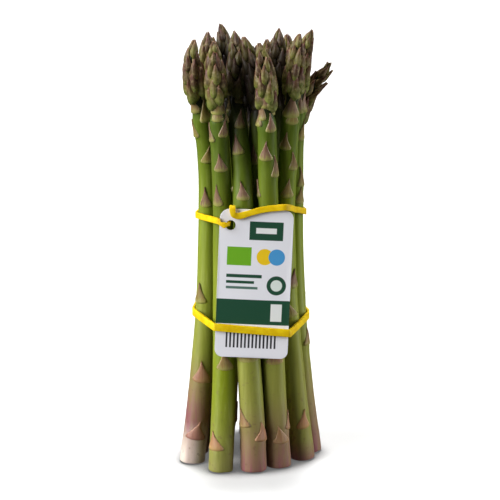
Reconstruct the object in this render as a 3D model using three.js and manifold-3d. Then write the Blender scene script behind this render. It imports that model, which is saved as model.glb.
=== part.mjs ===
// A bundle of green asparagus: 18 spears standing on their cut ends, tied by two flat rubber bands,
// with a punched card tag held on the front. Millimetres, +Z up. The front, where the card hangs,
// faces -Y, and the origin is the middle of the cut end of the middle spear.

import * as THREE from 'three';
import { mergeVertices } from 'three/addons/utils/BufferGeometryUtils.js';
import Module from 'manifold-3d';

const wasm = await Module();
wasm.setup();

// ---------------------------------------------------------------- driving dimensions

const CUT_RADIUS = 7.05; // of an ordinary spear at its cut end
const TAPER = 0.36; // share of that radius lost by the tip of the stem
const TAPER_POWER = 0.9;
const HEAD_LENGTH = 35; // the closed bud head, along the spear
const HEAD_RADIUS = 6; // over the scales, at the fullest place
const CORE_SHARE = 0.7; // the head's core against the fullness of its scales
const TIE_HEIGHT = 144; // where the bundle is narrowest
const TIE_SPACING = 11.1; // between neighbouring spears there
const SPREAD = 4.2; // more spacing than that at the cut ends
const SPREAD_HEIGHT = 110; // below which the spears spread
const SPREAD_POWER = 1.6;
const NOD_LENGTH = 24; // of the top of a head that hooks over
const STEM_GAP = 0.5; // least air between two stems
const CLEARANCE = 0.3; // least air between any two pieces

const LEVEL_STEP = 20; // height between the levels where the spears are settled side by side
const LEVEL_COUNT = 13;
const STEM_RINGS = [0, 40, 80, 120, 140, 160, 180]; // heights of the rings of a stem's surface
const STEM_SIDES = 8;
const HEAD_RINGS = [1, 0.62, 0.3]; // core rings, as shares of the head's length below the tip

const DIVERGENCE = 137.5; // turn from one scale leaf to the next, in degrees
const HEAD_SCALES = 12;
const SCALE_LENGTH = 11; // of a scale leaf on the stem
const SCALE_WIDTH = 1.38; // of it, in radii of the stem
const SCALE_RISE = 0.85; // how far it stands off the stem
const TUCKED_RISE = 0.3; // and where the card lies over it

const LOWER_WIDTH = 4.2; // of the bands, which are stretched differently
const UPPER_WIDTH = 3.4;
const BAND_THICKNESS = 1.3;
const BAND_STEP = 6; // degrees between the directions in which a band is laid round the bundle
const BAND_INSET = 0.45; // between a stem and the band's inner face
const LEAVES_CARD = 60; // the directions between which the upper band lies on the stems
const COMES_TO_CARD = 325;

const CARD = { width: 39.4, height: 80.8, thickness: 0.6, corner: 4.4, centreX: 1, centreZ: 104, roll: 2.4 };
const HOLE = { across: -13.7, up: 31.5, radius: 2.65 }; // from the card's centre

// The height of each band's middle, against the bearing from the front.
const LOWER_BAND = [
  [-180, 83], [-75, 83.8], [-58, 83], [-39, 81.3], [-17, 79.8], [16, 77.8], [52, 77.2], [80, 79.4], [100, 81], [180, 83],
];
const UPPER_BAND = [
  [-180, 137], [-100, 136.5], [-75, 137], [-50, 138], [-33, 138.4], [33, 145.4], [58, 142], [90, 138], [180, 137],
];

// ---------------------------------------------------------------- the spears

// The middle spear, 5 round it, then the outer 12, of which the first 6 stand in front, left to right.
// ring and turn: distance from the middle spear, in spacings, and bearing in degrees from the front
// towards +X, each at the cut end and at the tie. tip: where its point ends, and how high.
// sway: how late it bends above the tie. upright: the height from which it stands straight. nod: how far
// its tip hooks over, towards +X. scales: the height and the bearing of each scale leaf along a front
// stem; the others follow a rule.
const SPEARS = [
  { ring: [0, 0], turn: [0, 0], tip: [3, 1, 228], thick: 0.96, start: 310 },
  { ring: [1, 1], turn: [5, 18], tip: [-5, -14, 234.5], nod: -3.5, thick: 0.94, start: 60 },
  { ring: [1, 1], turn: [62, 84], tip: [14.3, -1, 237.5], nod: 1, thick: 0.95, start: 20 },
  { ring: [1, 1.05], turn: [120, 146], tip: [8, 13, 230], thick: 0.98, start: 230 },
  { ring: [1, 1.1], turn: [180, 214], tip: [-5, 15, 231], thick: 0.96, start: 280 },
  { ring: [1.15, 1.15], turn: [271, 282], tip: [-17.3, 9, 239], nod: -3.5, thick: 0.97, start: 0 },
  {
    ring: [2.43, 2.15], turn: [-62.7, -80], tip: [-30.7, -15, 233], sway: 2.2, upright: 212, nod: 1.2,
    thick: 1, start: 10,
    scales: [[187, 120], [181, -62], [166.5, 2], [126, -15], [97, 170], [73, -40], [44.5, 5], [13, 0]],
  },
  {
    ring: [2.38, 2.12], turn: [-28, -41], tip: [-20.3, -23, 233], thick: 0.97, start: 80,
    scales: [[191, -5], [182.5, 30], [180, -62], [164, 0], [145, -35], [106, 150], [55, 10], [11, -40]],
  },
  {
    ring: [2.05, 1.95], turn: [1.5, -13], tip: [-9.5, -4, 236.5], nod: -3, thick: 1.02, start: 150,
    scales: [[194, -78], [185, 15], [172, -15], [148, 0], [120, 160], [60, 0], [24, -45], [16, 60]],
  },
  {
    ring: [1.86, 1.97], turn: [31, 24], tip: [3.5, -26, 232.5], nod: -3, thick: 0.99, start: 205,
    scales: [[192, -55], [186, 28], [170.5, -14], [161, 60], [150, -85], [58, 10], [20, 80], [13, 25]],
  },
  {
    ring: [1.99, 2], turn: [68, 53.5], tip: [25, -19, 236.5], nod: 1.5, thick: 0.96, start: 290,
    scales: [[189, 10], [175, -30], [164, 45], [149, 5], [123, -160], [98, 40], [70, 10], [18, 25]],
  },
  {
    ring: [2.14, 2.09], turn: [91.7, 84], tip: [32, -6, 237.5], sway: 2.2, nod: 4.5, thick: 0.9, start: 30,
    scales: [[193, 20], [178, 38], [152, 55], [126, 40], [90, 150], [62, 80], [30, -120]],
  },
  { ring: [2, 2], turn: [125, 112], tip: [42.5, 3, 219], sway: 3.3, thick: 0.9, start: 120, open: 1 },
  { ring: [2, 2], turn: [153, 140], tip: [19.5, 12, 233], sway: 1.6, nod: -2, thick: 0.94, start: 250 },
  { ring: [2, 2], turn: [181, 168], tip: [12, 27, 229], thick: 0.98, start: 340 },
  { ring: [2, 2], turn: [217, 196], tip: [-6, 28, 228], thick: 0.95, start: 60 },
  { ring: [2, 2], turn: [245, 224], tip: [-22, 24, 230], thick: 0.97, start: 170 },
  { ring: [2, 2.04], turn: [272, 252], tip: [-24, -1, 235.5], thick: 0.94, start: 220 },
];
const MIDDLE = 0;

const radians = (degrees) => (degrees * Math.PI) / 180;
const mix = (a, b, t) => a + (b - a) * t;
const fromFront = (bearing, radius) => [
  radius * Math.sin(radians(bearing)),
  -radius * Math.cos(radians(bearing)),
];

// The bare stem's radius at a height, and the radius over the scales where the head swells.
function stemRadius(spear, z) {
  const share = Math.min(Math.max(z / spear.tip[2], 0), 1);
  return CUT_RADIUS * spear.thick * (1 - TAPER * share ** TAPER_POWER);
}

function headShare(spear, z) {
  return Math.max((spear.tip[2] - z) / HEAD_LENGTH, 0);
}

function headFullness(spear, share) {
  const thick = 0.5 + 0.5 * spear.thick;
  return HEAD_RADIUS * thick * Math.sin(0.62 * Math.PI * Math.min(share, 1) ** 0.75);
}

function envelope(spear, z) {
  const share = headShare(spear, z);
  const swell = Math.min(Math.max((share - 1) * 2, 0), 1);
  return mix(headFullness(spear, share), stemRadius(spear, z), swell);
}

// Where the spear would run if it had no neighbours.
function route(spear, z) {
  const rise = Math.min(z / TIE_HEIGHT, 1);
  const eased = rise * rise * (3 - 2 * rise);
  const spacing = TIE_SPACING + SPREAD * Math.max(1 - z / SPREAD_HEIGHT, 0) ** SPREAD_POWER;
  const low = fromFront(mix(...spear.turn, eased), mix(...spear.ring, eased) * spacing);
  if (z <= TIE_HEIGHT) return low;
  const high = Math.min((z - TIE_HEIGHT) / ((spear.upright ?? spear.tip[2]) - TIE_HEIGHT), 1);
  const share = high ** (spear.sway ?? 1.1);
  return [mix(low[0], spear.tip[0] - (spear.nod ?? 0), share), mix(low[1], spear.tip[1], share)];
}

// At one level, spears that would press into each other are moved apart.
function settle(z) {
  const places = SPEARS.map((spear) => route(spear, z));
  const reach = [z - LEVEL_STEP / 2, z, z + LEVEL_STEP / 2];
  const sizes = SPEARS.map((spear) => Math.max(...reach.map((height) => envelope(spear, height))));
  for (let round = 0; round < 80; round += 1) {
    for (let i = 0; i < SPEARS.length; i += 1) {
      for (let j = i + 1; j < SPEARS.length; j += 1) {
        if (sizes[i] === 0 || sizes[j] === 0) continue;
        const dx = places[j][0] - places[i][0];
        const dy = places[j][1] - places[i][1];
        const apart = Math.hypot(dx, dy);
        const short = sizes[i] + sizes[j] + STEM_GAP - apart;
        if (short <= 0) continue;
        const push = short / 2 / apart;
        places[i] = [places[i][0] - dx * push, places[i][1] - dy * push];
        places[j] = [places[j][0] + dx * push, places[j][1] + dy * push];
      }
    }
  }
  return places;
}

const LEVELS = Array.from({ length: LEVEL_COUNT }, (_, level) => settle(level * LEVEL_STEP));
const ORIGIN = [...LEVELS[0][MIDDLE]];

// How far aside a nodding head has hooked at a height.
function hook(spear, z) {
  return (spear.nod ?? 0) * Math.max((z - spear.tip[2]) / NOD_LENGTH + 1, 0) ** 2;
}

// The spear's centreline: a Catmull-Rom curve through its settled places.
function centre(index, z) {
  const along = Math.min(Math.max(z / LEVEL_STEP, 0), LEVEL_COUNT - 1.001);
  const level = Math.floor(along);
  const t = along - level;
  const at = (step) => LEVELS[Math.min(Math.max(level + step, 0), LEVEL_COUNT - 1)][index];
  return [0, 1].map((axis) => {
    const [a, b, c, d] = [at(-1)[axis], at(0)[axis], at(1)[axis], at(2)[axis]];
    const bend = (2 * a - 5 * b + 4 * c - d) * t * t + (3 * b - a - 3 * c + d) * t ** 3;
    const aside = axis === 0 ? hook(SPEARS[index], z) : 0;
    return b + 0.5 * ((c - a) * t + bend) + aside - ORIGIN[axis];
  });
}

// A point of the spear at a height, a bearing round it and a distance from its centreline.
function onSpear(index, z, bearing, radius) {
  const [x, y] = centre(index, z);
  const [xUp, yUp] = centre(index, z + 1);
  const along = new THREE.Vector3(xUp - x, yUp - y, 1).normalize();
  const front = new THREE.Vector3(0, -1, 0).addScaledVector(along, along.y).normalize();
  const right = new THREE.Vector3().crossVectors(along, front).negate();
  return new THREE.Vector3(x, y, z)
    .addScaledVector(front, radius * Math.cos(radians(bearing)))
    .addScaledVector(right, -radius * Math.sin(radians(bearing)));
}

// ---------------------------------------------------------------- solids from points and faces

function solid(points, faces) {
  const geometry = new THREE.BufferGeometry();
  geometry.setAttribute('position', new THREE.Float32BufferAttribute(points.flatMap((p) => p.toArray()), 3));
  geometry.setIndex(faces.flat());
  return geometry;
}

function toManifold(geometry) {
  const bare = geometry.clone();
  bare.deleteAttribute('normal');
  bare.deleteAttribute('uv');
  const merged = mergeVertices(bare, 1e-4);
  return new wasm.Manifold(
    new wasm.Mesh({
      numProp: 3,
      vertProperties: new Float32Array(merged.attributes.position.array),
      triVerts: new Uint32Array(merged.index.array),
    }),
  );
}

function toGeometry(manifold) {
  const mesh = manifold.getMesh();
  const geometry = new THREE.BufferGeometry();
  const positions = [];
  for (let i = 0; i < mesh.vertProperties.length; i += mesh.numProp) {
    positions.push(mesh.vertProperties[i], mesh.vertProperties[i + 1], mesh.vertProperties[i + 2]);
  }
  geometry.setAttribute('position', new THREE.Float32BufferAttribute(positions, 3));
  geometry.setIndex(Array.from(mesh.triVerts));
  return geometry;
}

// Rings of equally many points, joined by quads, with both ends closed by a fan.
function loft(rings) {
  const sides = rings[0].length;
  const points = rings.flat();
  const faces = [];
  for (let ring = 0; ring + 1 < rings.length; ring += 1) {
    for (let side = 0; side < sides; side += 1) {
      const a = ring * sides + side;
      const b = ring * sides + ((side + 1) % sides);
      faces.push([a, b, b + sides], [a, b + sides, a + sides]);
    }
  }
  const last = (rings.length - 1) * sides;
  for (let side = 1; side + 1 < sides; side += 1) {
    faces.push([0, side + 1, side], [last, last + side, last + side + 1]);
  }
  return solid(points, faces);
}

// ---------------------------------------------------------------- one spear

function stem(index) {
  const spear = SPEARS[index];
  const neck = spear.tip[2] - HEAD_LENGTH;
  const heights = STEM_RINGS.filter((z) => z < neck - 8);
  const ring = (z, radius) =>
    Array.from({ length: STEM_SIDES }, (_, side) => {
      const point = onSpear(index, z, (360 * side) / STEM_SIDES, radius);
      if (z === 0) point.z = 0;
      return point;
    });
  const rings = heights.map((z) => ring(z, stemRadius(spear, z)));
  for (const share of HEAD_RINGS) {
    const full = Math.min(headFullness(spear, share) * CORE_SHARE, stemRadius(spear, neck));
    rings.push(ring(spear.tip[2] - share * HEAD_LENGTH, full));
  }
  rings.push(ring(spear.tip[2] - 1, 0.45));
  return loft(rings);
}

// ---------------------------------------------------------------- where the bands and the card lie

const bearingOf = ({ x, y }) => (Math.atan2(x, -y) * 180) / Math.PI;

function bandHeight(band, bearing) {
  const next = Math.max(band.findIndex(([at]) => at >= bearing), 1);
  const [from, low] = band[next - 1];
  const [to, high] = band[next];
  return mix(low, high, 0.5 - 0.5 * Math.cos((Math.PI * (bearing - from)) / (to - from)));
}

// The foremost stem at a height sets how far forward the card's back is there.
function frontOfStems(z) {
  return Math.min(...SPEARS.map((spear, index) => centre(index, z)[1] - stemRadius(spear, z)));
}

// The card's own axes, with their origin at the middle of its front face.
const card = (() => {
  const low = CARD.centreZ - CARD.height / 2 - 1;
  const high = CARD.centreZ + CARD.height / 2 + 1;
  const air = CLEARANCE + TUCKED_RISE + 0.05;
  const [yLow, yHigh] = [frontOfStems(low) - air, frontOfStems(high) - air];
  const lean = Math.atan2(yHigh - yLow, high - low);
  const forward = new THREE.Vector3(0, -Math.cos(lean), Math.sin(lean));
  const upright = new THREE.Vector3(0, Math.sin(lean), Math.cos(lean));
  const roll = radians(CARD.roll);
  const up = new THREE.Vector3(1, 0, 0).multiplyScalar(Math.sin(roll)).addScaledVector(upright, Math.cos(roll));
  const across = new THREE.Vector3().crossVectors(forward, up).negate();
  const back = new THREE.Vector3(CARD.centreX, mix(yLow, yHigh, 0.5), CARD.centreZ);
  return { across, up, forward, origin: back.addScaledVector(forward, CARD.thickness) };
})();

function onCard(across, up, out) {
  return card.origin.clone()
    .addScaledVector(card.across, across)
    .addScaledVector(card.up, up)
    .addScaledVector(card.forward, out);
}

// Keeps a scale leaf flat where a band or the card presses on it.
function pressed(index, point) {
  const [x, y] = centre(index, point.z);
  const bearing = bearingOf(point);
  const bands = [LOWER_BAND, UPPER_BAND];
  const underBand = bands.some((band) => Math.abs(point.z - bandHeight(band, bearing)) < LOWER_WIDTH / 2 + 1);
  const off = point.clone().sub(card.origin);
  const underCard = Math.abs(off.dot(card.across)) < CARD.width / 2 + 1
    && Math.abs(off.dot(card.up)) < CARD.height / 2 + 1
    && off.dot(card.forward) > -CARD.thickness - CLEARANCE - 1;
  const radius = Math.hypot(point.x - x, point.y - y);
  const most = stemRadius(SPEARS[index], point.z) + 0.1;
  if ((underBand || underCard) && radius > most) {
    point.set(mix(x, point.x, most / radius), mix(y, point.y, most / radius), point.z);
  }
  return point;
}

// Moves a point back towards its own spear where it would reach a neighbour.
function clear(index, point) {
  const [x, y] = centre(index, point.z);
  const own = envelope(SPEARS[index], point.z);
  for (let other = 0; other < SPEARS.length; other += 1) {
    if (other === index || SPEARS[other].tip[2] < point.z) continue;
    const [ox, oy] = centre(other, point.z);
    const theirs = envelope(SPEARS[other], point.z);
    for (let round = 0; round < 6; round += 1) {
      const mine = Math.hypot(point.x - x, point.y - y);
      const across = Math.hypot(point.x - ox, point.y - oy);
      const over = mine - own - (across - theirs - CLEARANCE);
      if (over <= 0) break;
      const keep = Math.max(1 - (0.55 * over) / mine, 0);
      point.set(mix(x, point.x, keep), mix(y, point.y, keep), point.z);
    }
  }
  return pressed(index, point);
}

// A pointed scale leaf: the points round its edge, one on its keel and one root sunk in the spear.
// Each point is [across, up], in half widths and lengths; how far out it stands is a function.
const STEM_SCALE = { edge: [[1, 0], [0.62, 0.5], [0, 1], [-0.62, 0.5], [-1, 0]], keel: [0, 0.16] };
const HEAD_SCALE = { edge: [[0, -0.04], [1, 0.34], [0, 1], [-1, 0.34]], keel: [0, 0.36] };

function scaleLeaf(index, form, { z, bearing, width, length, edgeOut, keelOut, root }) {
  const place = ([across, up], out) => {
    const height = z + up * length;
    const radius = out(height, up);
    const turn = (across * width * 90) / (Math.PI * Math.max(radius, 1));
    return clear(index, onSpear(index, height, bearing + turn, radius));
  };
  const count = form.edge.length;
  const points = form.edge.map((spot) => place(spot, edgeOut));
  points.push(place(form.keel, keelOut), onSpear(index, z + root[0] * length, bearing, root[1]));
  const faces = form.edge.flatMap((_, spot) => {
    const next = (spot + 1) % count;
    return [[spot, next, count], [next, spot, count + 1]];
  });
  return toManifold(solid(points, faces));
}

// Where the scale leaves sit along a stem: as listed, or from under the head down, closer together near
// the head, each turned on from the last. Under a band or the card there is none.
function scalePlaces(index) {
  const spear = SPEARS[index];
  const places = [...(spear.scales ?? [])];
  let z = spear.tip[2] - HEAD_LENGTH - 7;
  let bearing = spear.start;
  for (let step = 11; !spear.scales && z > 9; step *= 1.4) {
    places.push([z, bearing]);
    z -= step;
    bearing += DIVERGENCE;
  }
  return places.map(([height, turn]) => [besideBands(index, height), turn]);
}

// Lifts a scale leaf that a band would cross until it stands just above the band.
function besideBands(index, height) {
  if (SPEARS[index].ring[1] < 1.5) return height;
  const [x, y] = centre(index, height);
  const bearing = bearingOf({ x, y });
  const low = -SCALE_LENGTH - LOWER_WIDTH / 2 - 1.5;
  const high = LOWER_WIDTH / 2 + 2.5;
  for (const band of [LOWER_BAND, UPPER_BAND]) {
    const middle = bandHeight(band, bearing);
    if (height > middle + low && height < middle + high) return middle + high;
  }
  return height;
}

function behindCard(index, z) {
  const off = new THREE.Vector3(...centre(index, z), z).sub(card.origin);
  const rise = off.dot(card.up) + SCALE_LENGTH / 2;
  const reach = (CARD.height + SCALE_LENGTH) / 2 + 1;
  return Math.abs(off.dot(card.across)) < CARD.width / 2 && Math.abs(rise) < reach
    && off.dot(card.forward) > -2 * CUT_RADIUS;
}

function stemScales(index) {
  const spear = SPEARS[index];
  return scalePlaces(index).map(([z, bearing]) => {
    const rise = behindCard(index, z) ? TUCKED_RISE : SCALE_RISE;
    return {
      z,
      bearing,
      width: SCALE_WIDTH * stemRadius(spear, z),
      length: SCALE_LENGTH,
      edgeOut: (height) => stemRadius(spear, height) + 0.35 * rise,
      keelOut: (height) => stemRadius(spear, height) + rise,
      root: [0.35, 0.6 * stemRadius(spear, z)],
    };
  });
}

// The overlapping scale leaves that close the head.
function headScales(index) {
  const spear = SPEARS[index];
  const spread = spear.open ? 1.8 : 0.35;
  return Array.from({ length: HEAD_SCALES }, (_, k) => {
    const share = 1.02 - (0.86 * k) / (HEAD_SCALES - 1);
    const z = spear.tip[2] - share * HEAD_LENGTH;
    const full = (height) => headFullness(spear, headShare(spear, height));
    return {
      z,
      bearing: spear.start - DIVERGENCE * (k + 1),
      width: mix(3.6, 8.2, share),
      length: mix(5.4, 12.5, share),
      edgeOut: (height, up) => Math.max(full(height) * mix(0.86, 1, up), 0.4) + spread * up * up,
      keelOut: (height) => Math.max(full(height) * 1.07, 0.5) + 0.2 * spread,
      root: [0.15, 0],
    };
  });
}

function spearGeometry(index) {
  const scales = [
    ...stemScales(index).map((scale) => scaleLeaf(index, STEM_SCALE, scale)),
    ...headScales(index).map((scale) => scaleLeaf(index, HEAD_SCALE, scale)),
  ];
  const whole = scales.reduce((body, scale) => body.add(scale), toManifold(stem(index)));
  return toGeometry(whole);
}

// ---------------------------------------------------------------- the card and the bands

function cardGeometry() {
  const [w, h, r] = [CARD.width / 2, CARD.height / 2, CARD.corner];
  const outline = new THREE.Shape();
  outline.absarc(w - r, h - r, r, 0, Math.PI / 2);
  outline.absarc(r - w, h - r, r, Math.PI / 2, Math.PI);
  outline.absarc(r - w, r - h, r, Math.PI, 1.5 * Math.PI);
  outline.absarc(w - r, r - h, r, 1.5 * Math.PI, 2 * Math.PI);
  outline.closePath();
  outline.holes.push(new THREE.Path().absarc(HOLE.across, HOLE.up, HOLE.radius, 0, 2 * Math.PI, true));
  const plate = new THREE.ExtrudeGeometry(outline, {
    depth: CARD.thickness,
    bevelEnabled: false,
    curveSegments: 6,
  });
  const axes = new THREE.Matrix4().makeBasis(card.across, card.up, card.forward);
  axes.setPosition(onCard(0, 0, -CARD.thickness));
  return plate.applyMatrix4(axes);
}

// The four corners of a band's section, round its middle.
function section(middle, up, out, width = UPPER_WIDTH, thickness = BAND_THICKNESS) {
  return [[-1, -1], [1, -1], [1, 1], [-1, 1]].map(([rise, depth]) =>
    middle.clone().addScaledVector(up, (rise * width) / 2).addScaledVector(out, (depth * thickness) / 2),
  );
}

// Where a band stretched round the bundle lies in one direction: on the stem, or the card's straight
// side, that reaches furthest out that way. Its height goes by the bearing of the place where it lies.
function stretched(band, bearing, width) {
  const out = new THREE.Vector3(...fromFront(bearing, 1), 0);
  const middle = new THREE.Vector3();
  let z = bandHeight(band, bearing);
  for (let round = 0; round < 3; round += 1) {
    const holds = SPEARS.map((spear, index) => [...centre(index, z), stemRadius(spear, z) + BAND_INSET]);
    const height = (z - card.origin.z) / card.up.z;
    for (const side of Math.abs(height) < CARD.height / 2 - CARD.corner ? [-1, 1] : []) {
      const edge = onCard((side * CARD.width) / 2, height, 0);
      holds.push([edge.x, edge.y, CLEARANCE]);
    }
    const reach = ([x, y, radius]) => x * out.x + y * out.y + radius;
    const [x, y, radius] = holds.reduce((best, hold) => (reach(hold) > reach(best) ? hold : best));
    middle.set(x, y, z).addScaledVector(out, radius + BAND_THICKNESS / 2);
    z = bandHeight(band, bearingOf(middle));
    middle.z = z;
  }
  return section(middle, new THREE.Vector3(0, 0, 1), out, width);
}

// A closed tube through sections of four corners, each joined to the next with the least twist.
function bandGeometry(sections) {
  const points = sections.flat();
  const faces = [];
  sections.forEach((here, step) => {
    const follower = (step + 1) % sections.length;
    const there = sections[follower];
    const twist = [0, 1, 2, 3].map((shift) =>
      here.reduce((sum, corner, k) => sum + corner.distanceToSquared(there[(k + shift) % 4]), 0),
    );
    const shift = twist.indexOf(Math.min(...twist));
    for (let k = 0; k < 4; k += 1) {
      const [a, b] = [4 * step + k, 4 * step + ((k + 1) % 4)];
      const [c, d] = [4 * follower + ((k + 1 + shift) % 4), 4 * follower + ((k + shift) % 4)];
      faces.push([a, b, c], [a, c, d]);
    }
  });
  return solid(points, faces);
}

function lowerBand() {
  const sections = [];
  for (let bearing = -180; bearing < 180; bearing += BAND_STEP) {
    sections.push(stretched(LOWER_BAND, bearing, LOWER_WIDTH));
  }
  return bandGeometry(sections);
}

// The upper band runs to the card's hole, goes in through the top of it, up behind the card, over its
// top edge and down again, and then on across the card's front.
function upperBand() {
  const { across, up, forward } = card;
  const back = forward.clone().negate();
  const slant = across.clone().add(forward).normalize();
  const sink = up.clone().add(forward).negate().normalize();
  const over = up.clone().add(forward).normalize();
  const steep = across.clone().add(up).normalize();
  const rising = up.clone().addScaledVector(across, -0.5).normalize();
  const knot = [
    section(onCard(-19.6, 33.1, 0.95), up, forward),
    section(onCard(-18.1, 31.6, 1.35), rising, forward, 3.6, 1.5),
    section(onCard(-16.7, 31.9, 1.6), rising, forward, 2.8, 1.6),
    section(onCard(-15.2, 32.2, 1.3), rising, slant, 1.8, 1.5),
    section(onCard(-14.7, 32.1, -0.4), up, across, 1.5, 1.5),
    section(onCard(-14.6, 33.8, -2), across, sink, 2, 1.4),
    section(onCard(-14, 36.4, -1.8), across, back, 2.4, 1.3),
    section(onCard(-13.6, 39.8, -1.8), across, back, 2.8, 1.3),
    section(onCard(-13.2, 41.6, -0.4), across, up, 3, 1.4),
    section(onCard(-13.1, 41.1, 1), across, over, 3.2, 1.4),
    section(onCard(-13, 39.2, 1.4), across, forward, 3.2, 1.4),
    section(onCard(-12.4, 37.5, 1.4), steep, forward, 3.2, 1.4),
    section(onCard(-10, 36.7, 0.95), up, forward),
    section(onCard(-3.1, 38.8, 0.95), up, forward),
    section(onCard(2.7, 40.6, 0.95), up, forward),
    section(onCard(9.3, 41.8, 0.95), up, forward),
    section(onCard(16, 42.5, 1.1), up, forward),
  ];
  const sections = [...knot];
  for (let bearing = LEAVES_CARD; bearing < COMES_TO_CARD; bearing += BAND_STEP) {
    sections.push(stretched(UPPER_BAND, bearing > 180 ? bearing - 360 : bearing, UPPER_WIDTH));
  }
  return bandGeometry(sections);
}

// ---------------------------------------------------------------- assembly

const finish = (color, roughness) => new THREE.MeshStandardMaterial({ color, roughness, metalness: 0 });
const spearMaterial = finish(0x6b8f2f, 0.45);
const bandMaterial = finish(0xe8cc00, 0.5);
const cardMaterial = finish(0xe6e6ea, 0.4);

const bundle = new THREE.Group();

function place(name, geometry, material) {
  const mesh = new THREE.Mesh(geometry, material);
  mesh.name = name;
  bundle.add(mesh);
}

SPEARS.forEach((spear, index) => {
  place(`spear_${String(index + 1).padStart(2, '0')}`, spearGeometry(index), spearMaterial);
});
place('rubber_band_lower', lowerBand(), bandMaterial);
place('rubber_band_upper', upperBand(), bandMaterial);
place('card_tag', cardGeometry(), cardMaterial);

export default bundle;
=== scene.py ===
# %% [markdown]
# # A bundle of green asparagus
#
# Eighteen spears stand on their cut ends. Two flat yellow rubber bands hold them together, and the
# upper one is threaded through the hole of a printed card tag. Each spear is a round tapering stem with
# scale leaves: few and far apart low down, and packed into a closed head at the tip. Everything is
# worked out in millimetres and turned into metres when a mesh is made.

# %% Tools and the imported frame
import math

import bpy
import numpy as np
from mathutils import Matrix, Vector
from mathutils.geometry import delaunay_2d_cdt


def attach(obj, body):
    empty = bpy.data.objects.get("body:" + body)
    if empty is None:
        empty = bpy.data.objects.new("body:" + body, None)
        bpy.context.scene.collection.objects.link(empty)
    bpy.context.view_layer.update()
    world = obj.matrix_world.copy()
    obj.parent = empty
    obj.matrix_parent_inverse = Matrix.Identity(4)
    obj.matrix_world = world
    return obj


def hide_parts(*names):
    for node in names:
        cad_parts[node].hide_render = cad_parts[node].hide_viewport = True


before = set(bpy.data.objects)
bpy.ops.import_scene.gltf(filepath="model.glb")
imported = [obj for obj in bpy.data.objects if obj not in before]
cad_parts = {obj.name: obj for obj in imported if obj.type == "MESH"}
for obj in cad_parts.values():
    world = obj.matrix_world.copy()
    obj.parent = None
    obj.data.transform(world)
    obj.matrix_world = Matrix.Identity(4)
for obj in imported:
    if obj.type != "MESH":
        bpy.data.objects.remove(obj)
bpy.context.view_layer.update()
METRES = 0.001

# %% [markdown]
# ## The camera
#
# A long lens from about a metre away keeps the spears nearly parallel. It looks 13 degrees down, so the
# bases spread out on the floor below each other and the bands show a little of their curve.

# %% Camera
CAMERA_PLACE = (-1.1, -974.4, 341.0)
CAMERA_AIM = (-1.1, 0.0, 116.0)
LENS_LENGTH = 130.9  # on a sensor 36 mm wide

lens = bpy.data.cameras.new("camera")
lens.lens = LENS_LENGTH
lens.sensor_width = 36.0
camera = bpy.data.objects.new("camera", lens)
camera.location = Vector(CAMERA_PLACE) * METRES
camera.rotation_euler = (Vector(CAMERA_AIM) - Vector(CAMERA_PLACE)).to_track_quat("-Z", "Y").to_euler()
bpy.context.scene.collection.objects.link(camera)
bpy.context.scene.camera = camera
print("camera looks down by", round(90 - math.degrees(camera.rotation_euler.x), 1), "degrees")

# %% [markdown]
# ## A few helpers
#
# One turns a screen colour into the linear colour that the shader works in. One adds a node together
# with its settings and links, for shaders and Geometry Nodes alike. One makes an object whose place is in
# its mesh, and two store and read a number for each point of a mesh.

# %% Colour, node and mesh helpers
def colour(code):
    """A linear colour from a screen colour such as #a0b040."""
    parts = [int(code[i : i + 2], 16) / 255 for i in (1, 3, 5)]
    return (*[p / 12.92 if p <= 0.04045 else ((p + 0.055) / 1.055) ** 2.4 for p in parts], 1.0)


def add(tree, kind, inputs=None, **settings):
    """Adds a node and gives its first output. inputs has a value or a link for a socket's name or number."""
    made = tree.nodes.new(kind)
    for name, value in settings.items():
        setattr(made, name, value)
    for name, value in (inputs or {}).items():
        named = (s for s in made.inputs if s.name == name and s.enabled)
        socket = made.inputs[name] if isinstance(name, int) else next(named)
        if isinstance(value, bpy.types.NodeSocket):
            tree.links.new(value, socket)
        else:
            socket.default_value = value
    return next((s for s in made.outputs if s.enabled), None) or made


def mesh_object(name, points, faces=(), edges=()):
    """A new object with its place in its mesh. The points are in the unit that the mesh is to have."""
    mesh = bpy.data.meshes.new(name)
    mesh.from_pydata(np.asarray(points, float).tolist(), list(edges), list(faces))
    made = bpy.data.objects.new(name, mesh)
    bpy.context.scene.collection.objects.link(made)
    return made


def write_attribute(mesh, name, values):
    """Stores one number for each point of a mesh, for a node tree or a material to read."""
    if name in mesh.attributes:
        mesh.attributes.remove(mesh.attributes[name])
    mesh.attributes.new(name, "FLOAT", "POINT").data.foreach_set("value", np.asarray(values, np.float32))


def read_attribute(mesh, name):
    """The numbers of a point attribute, as an array."""
    values = np.zeros(len(mesh.vertices), np.float32)
    mesh.attributes[name].data.foreach_get("value", values)
    return values.astype(float)


print("screen colour #808080 is", round(colour("#808080")[0], 3), "in the shader")

# %% [markdown]
# ## How the spears stand
#
# A bundle isn't a row of equal rods: each spear starts at its own place at the cut, is squeezed towards
# the middle at the tie, and leans its own way above it. So each one has a place round the middle spear,
# a bearing at the cut and at the tie, and a tip. At every 20 mm of height, spears that would press into
# each other are moved apart, and a smooth curve through those places is the spear's centreline. A physics
# run could pack them too, but then no stem would stand where it is wanted.

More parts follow.
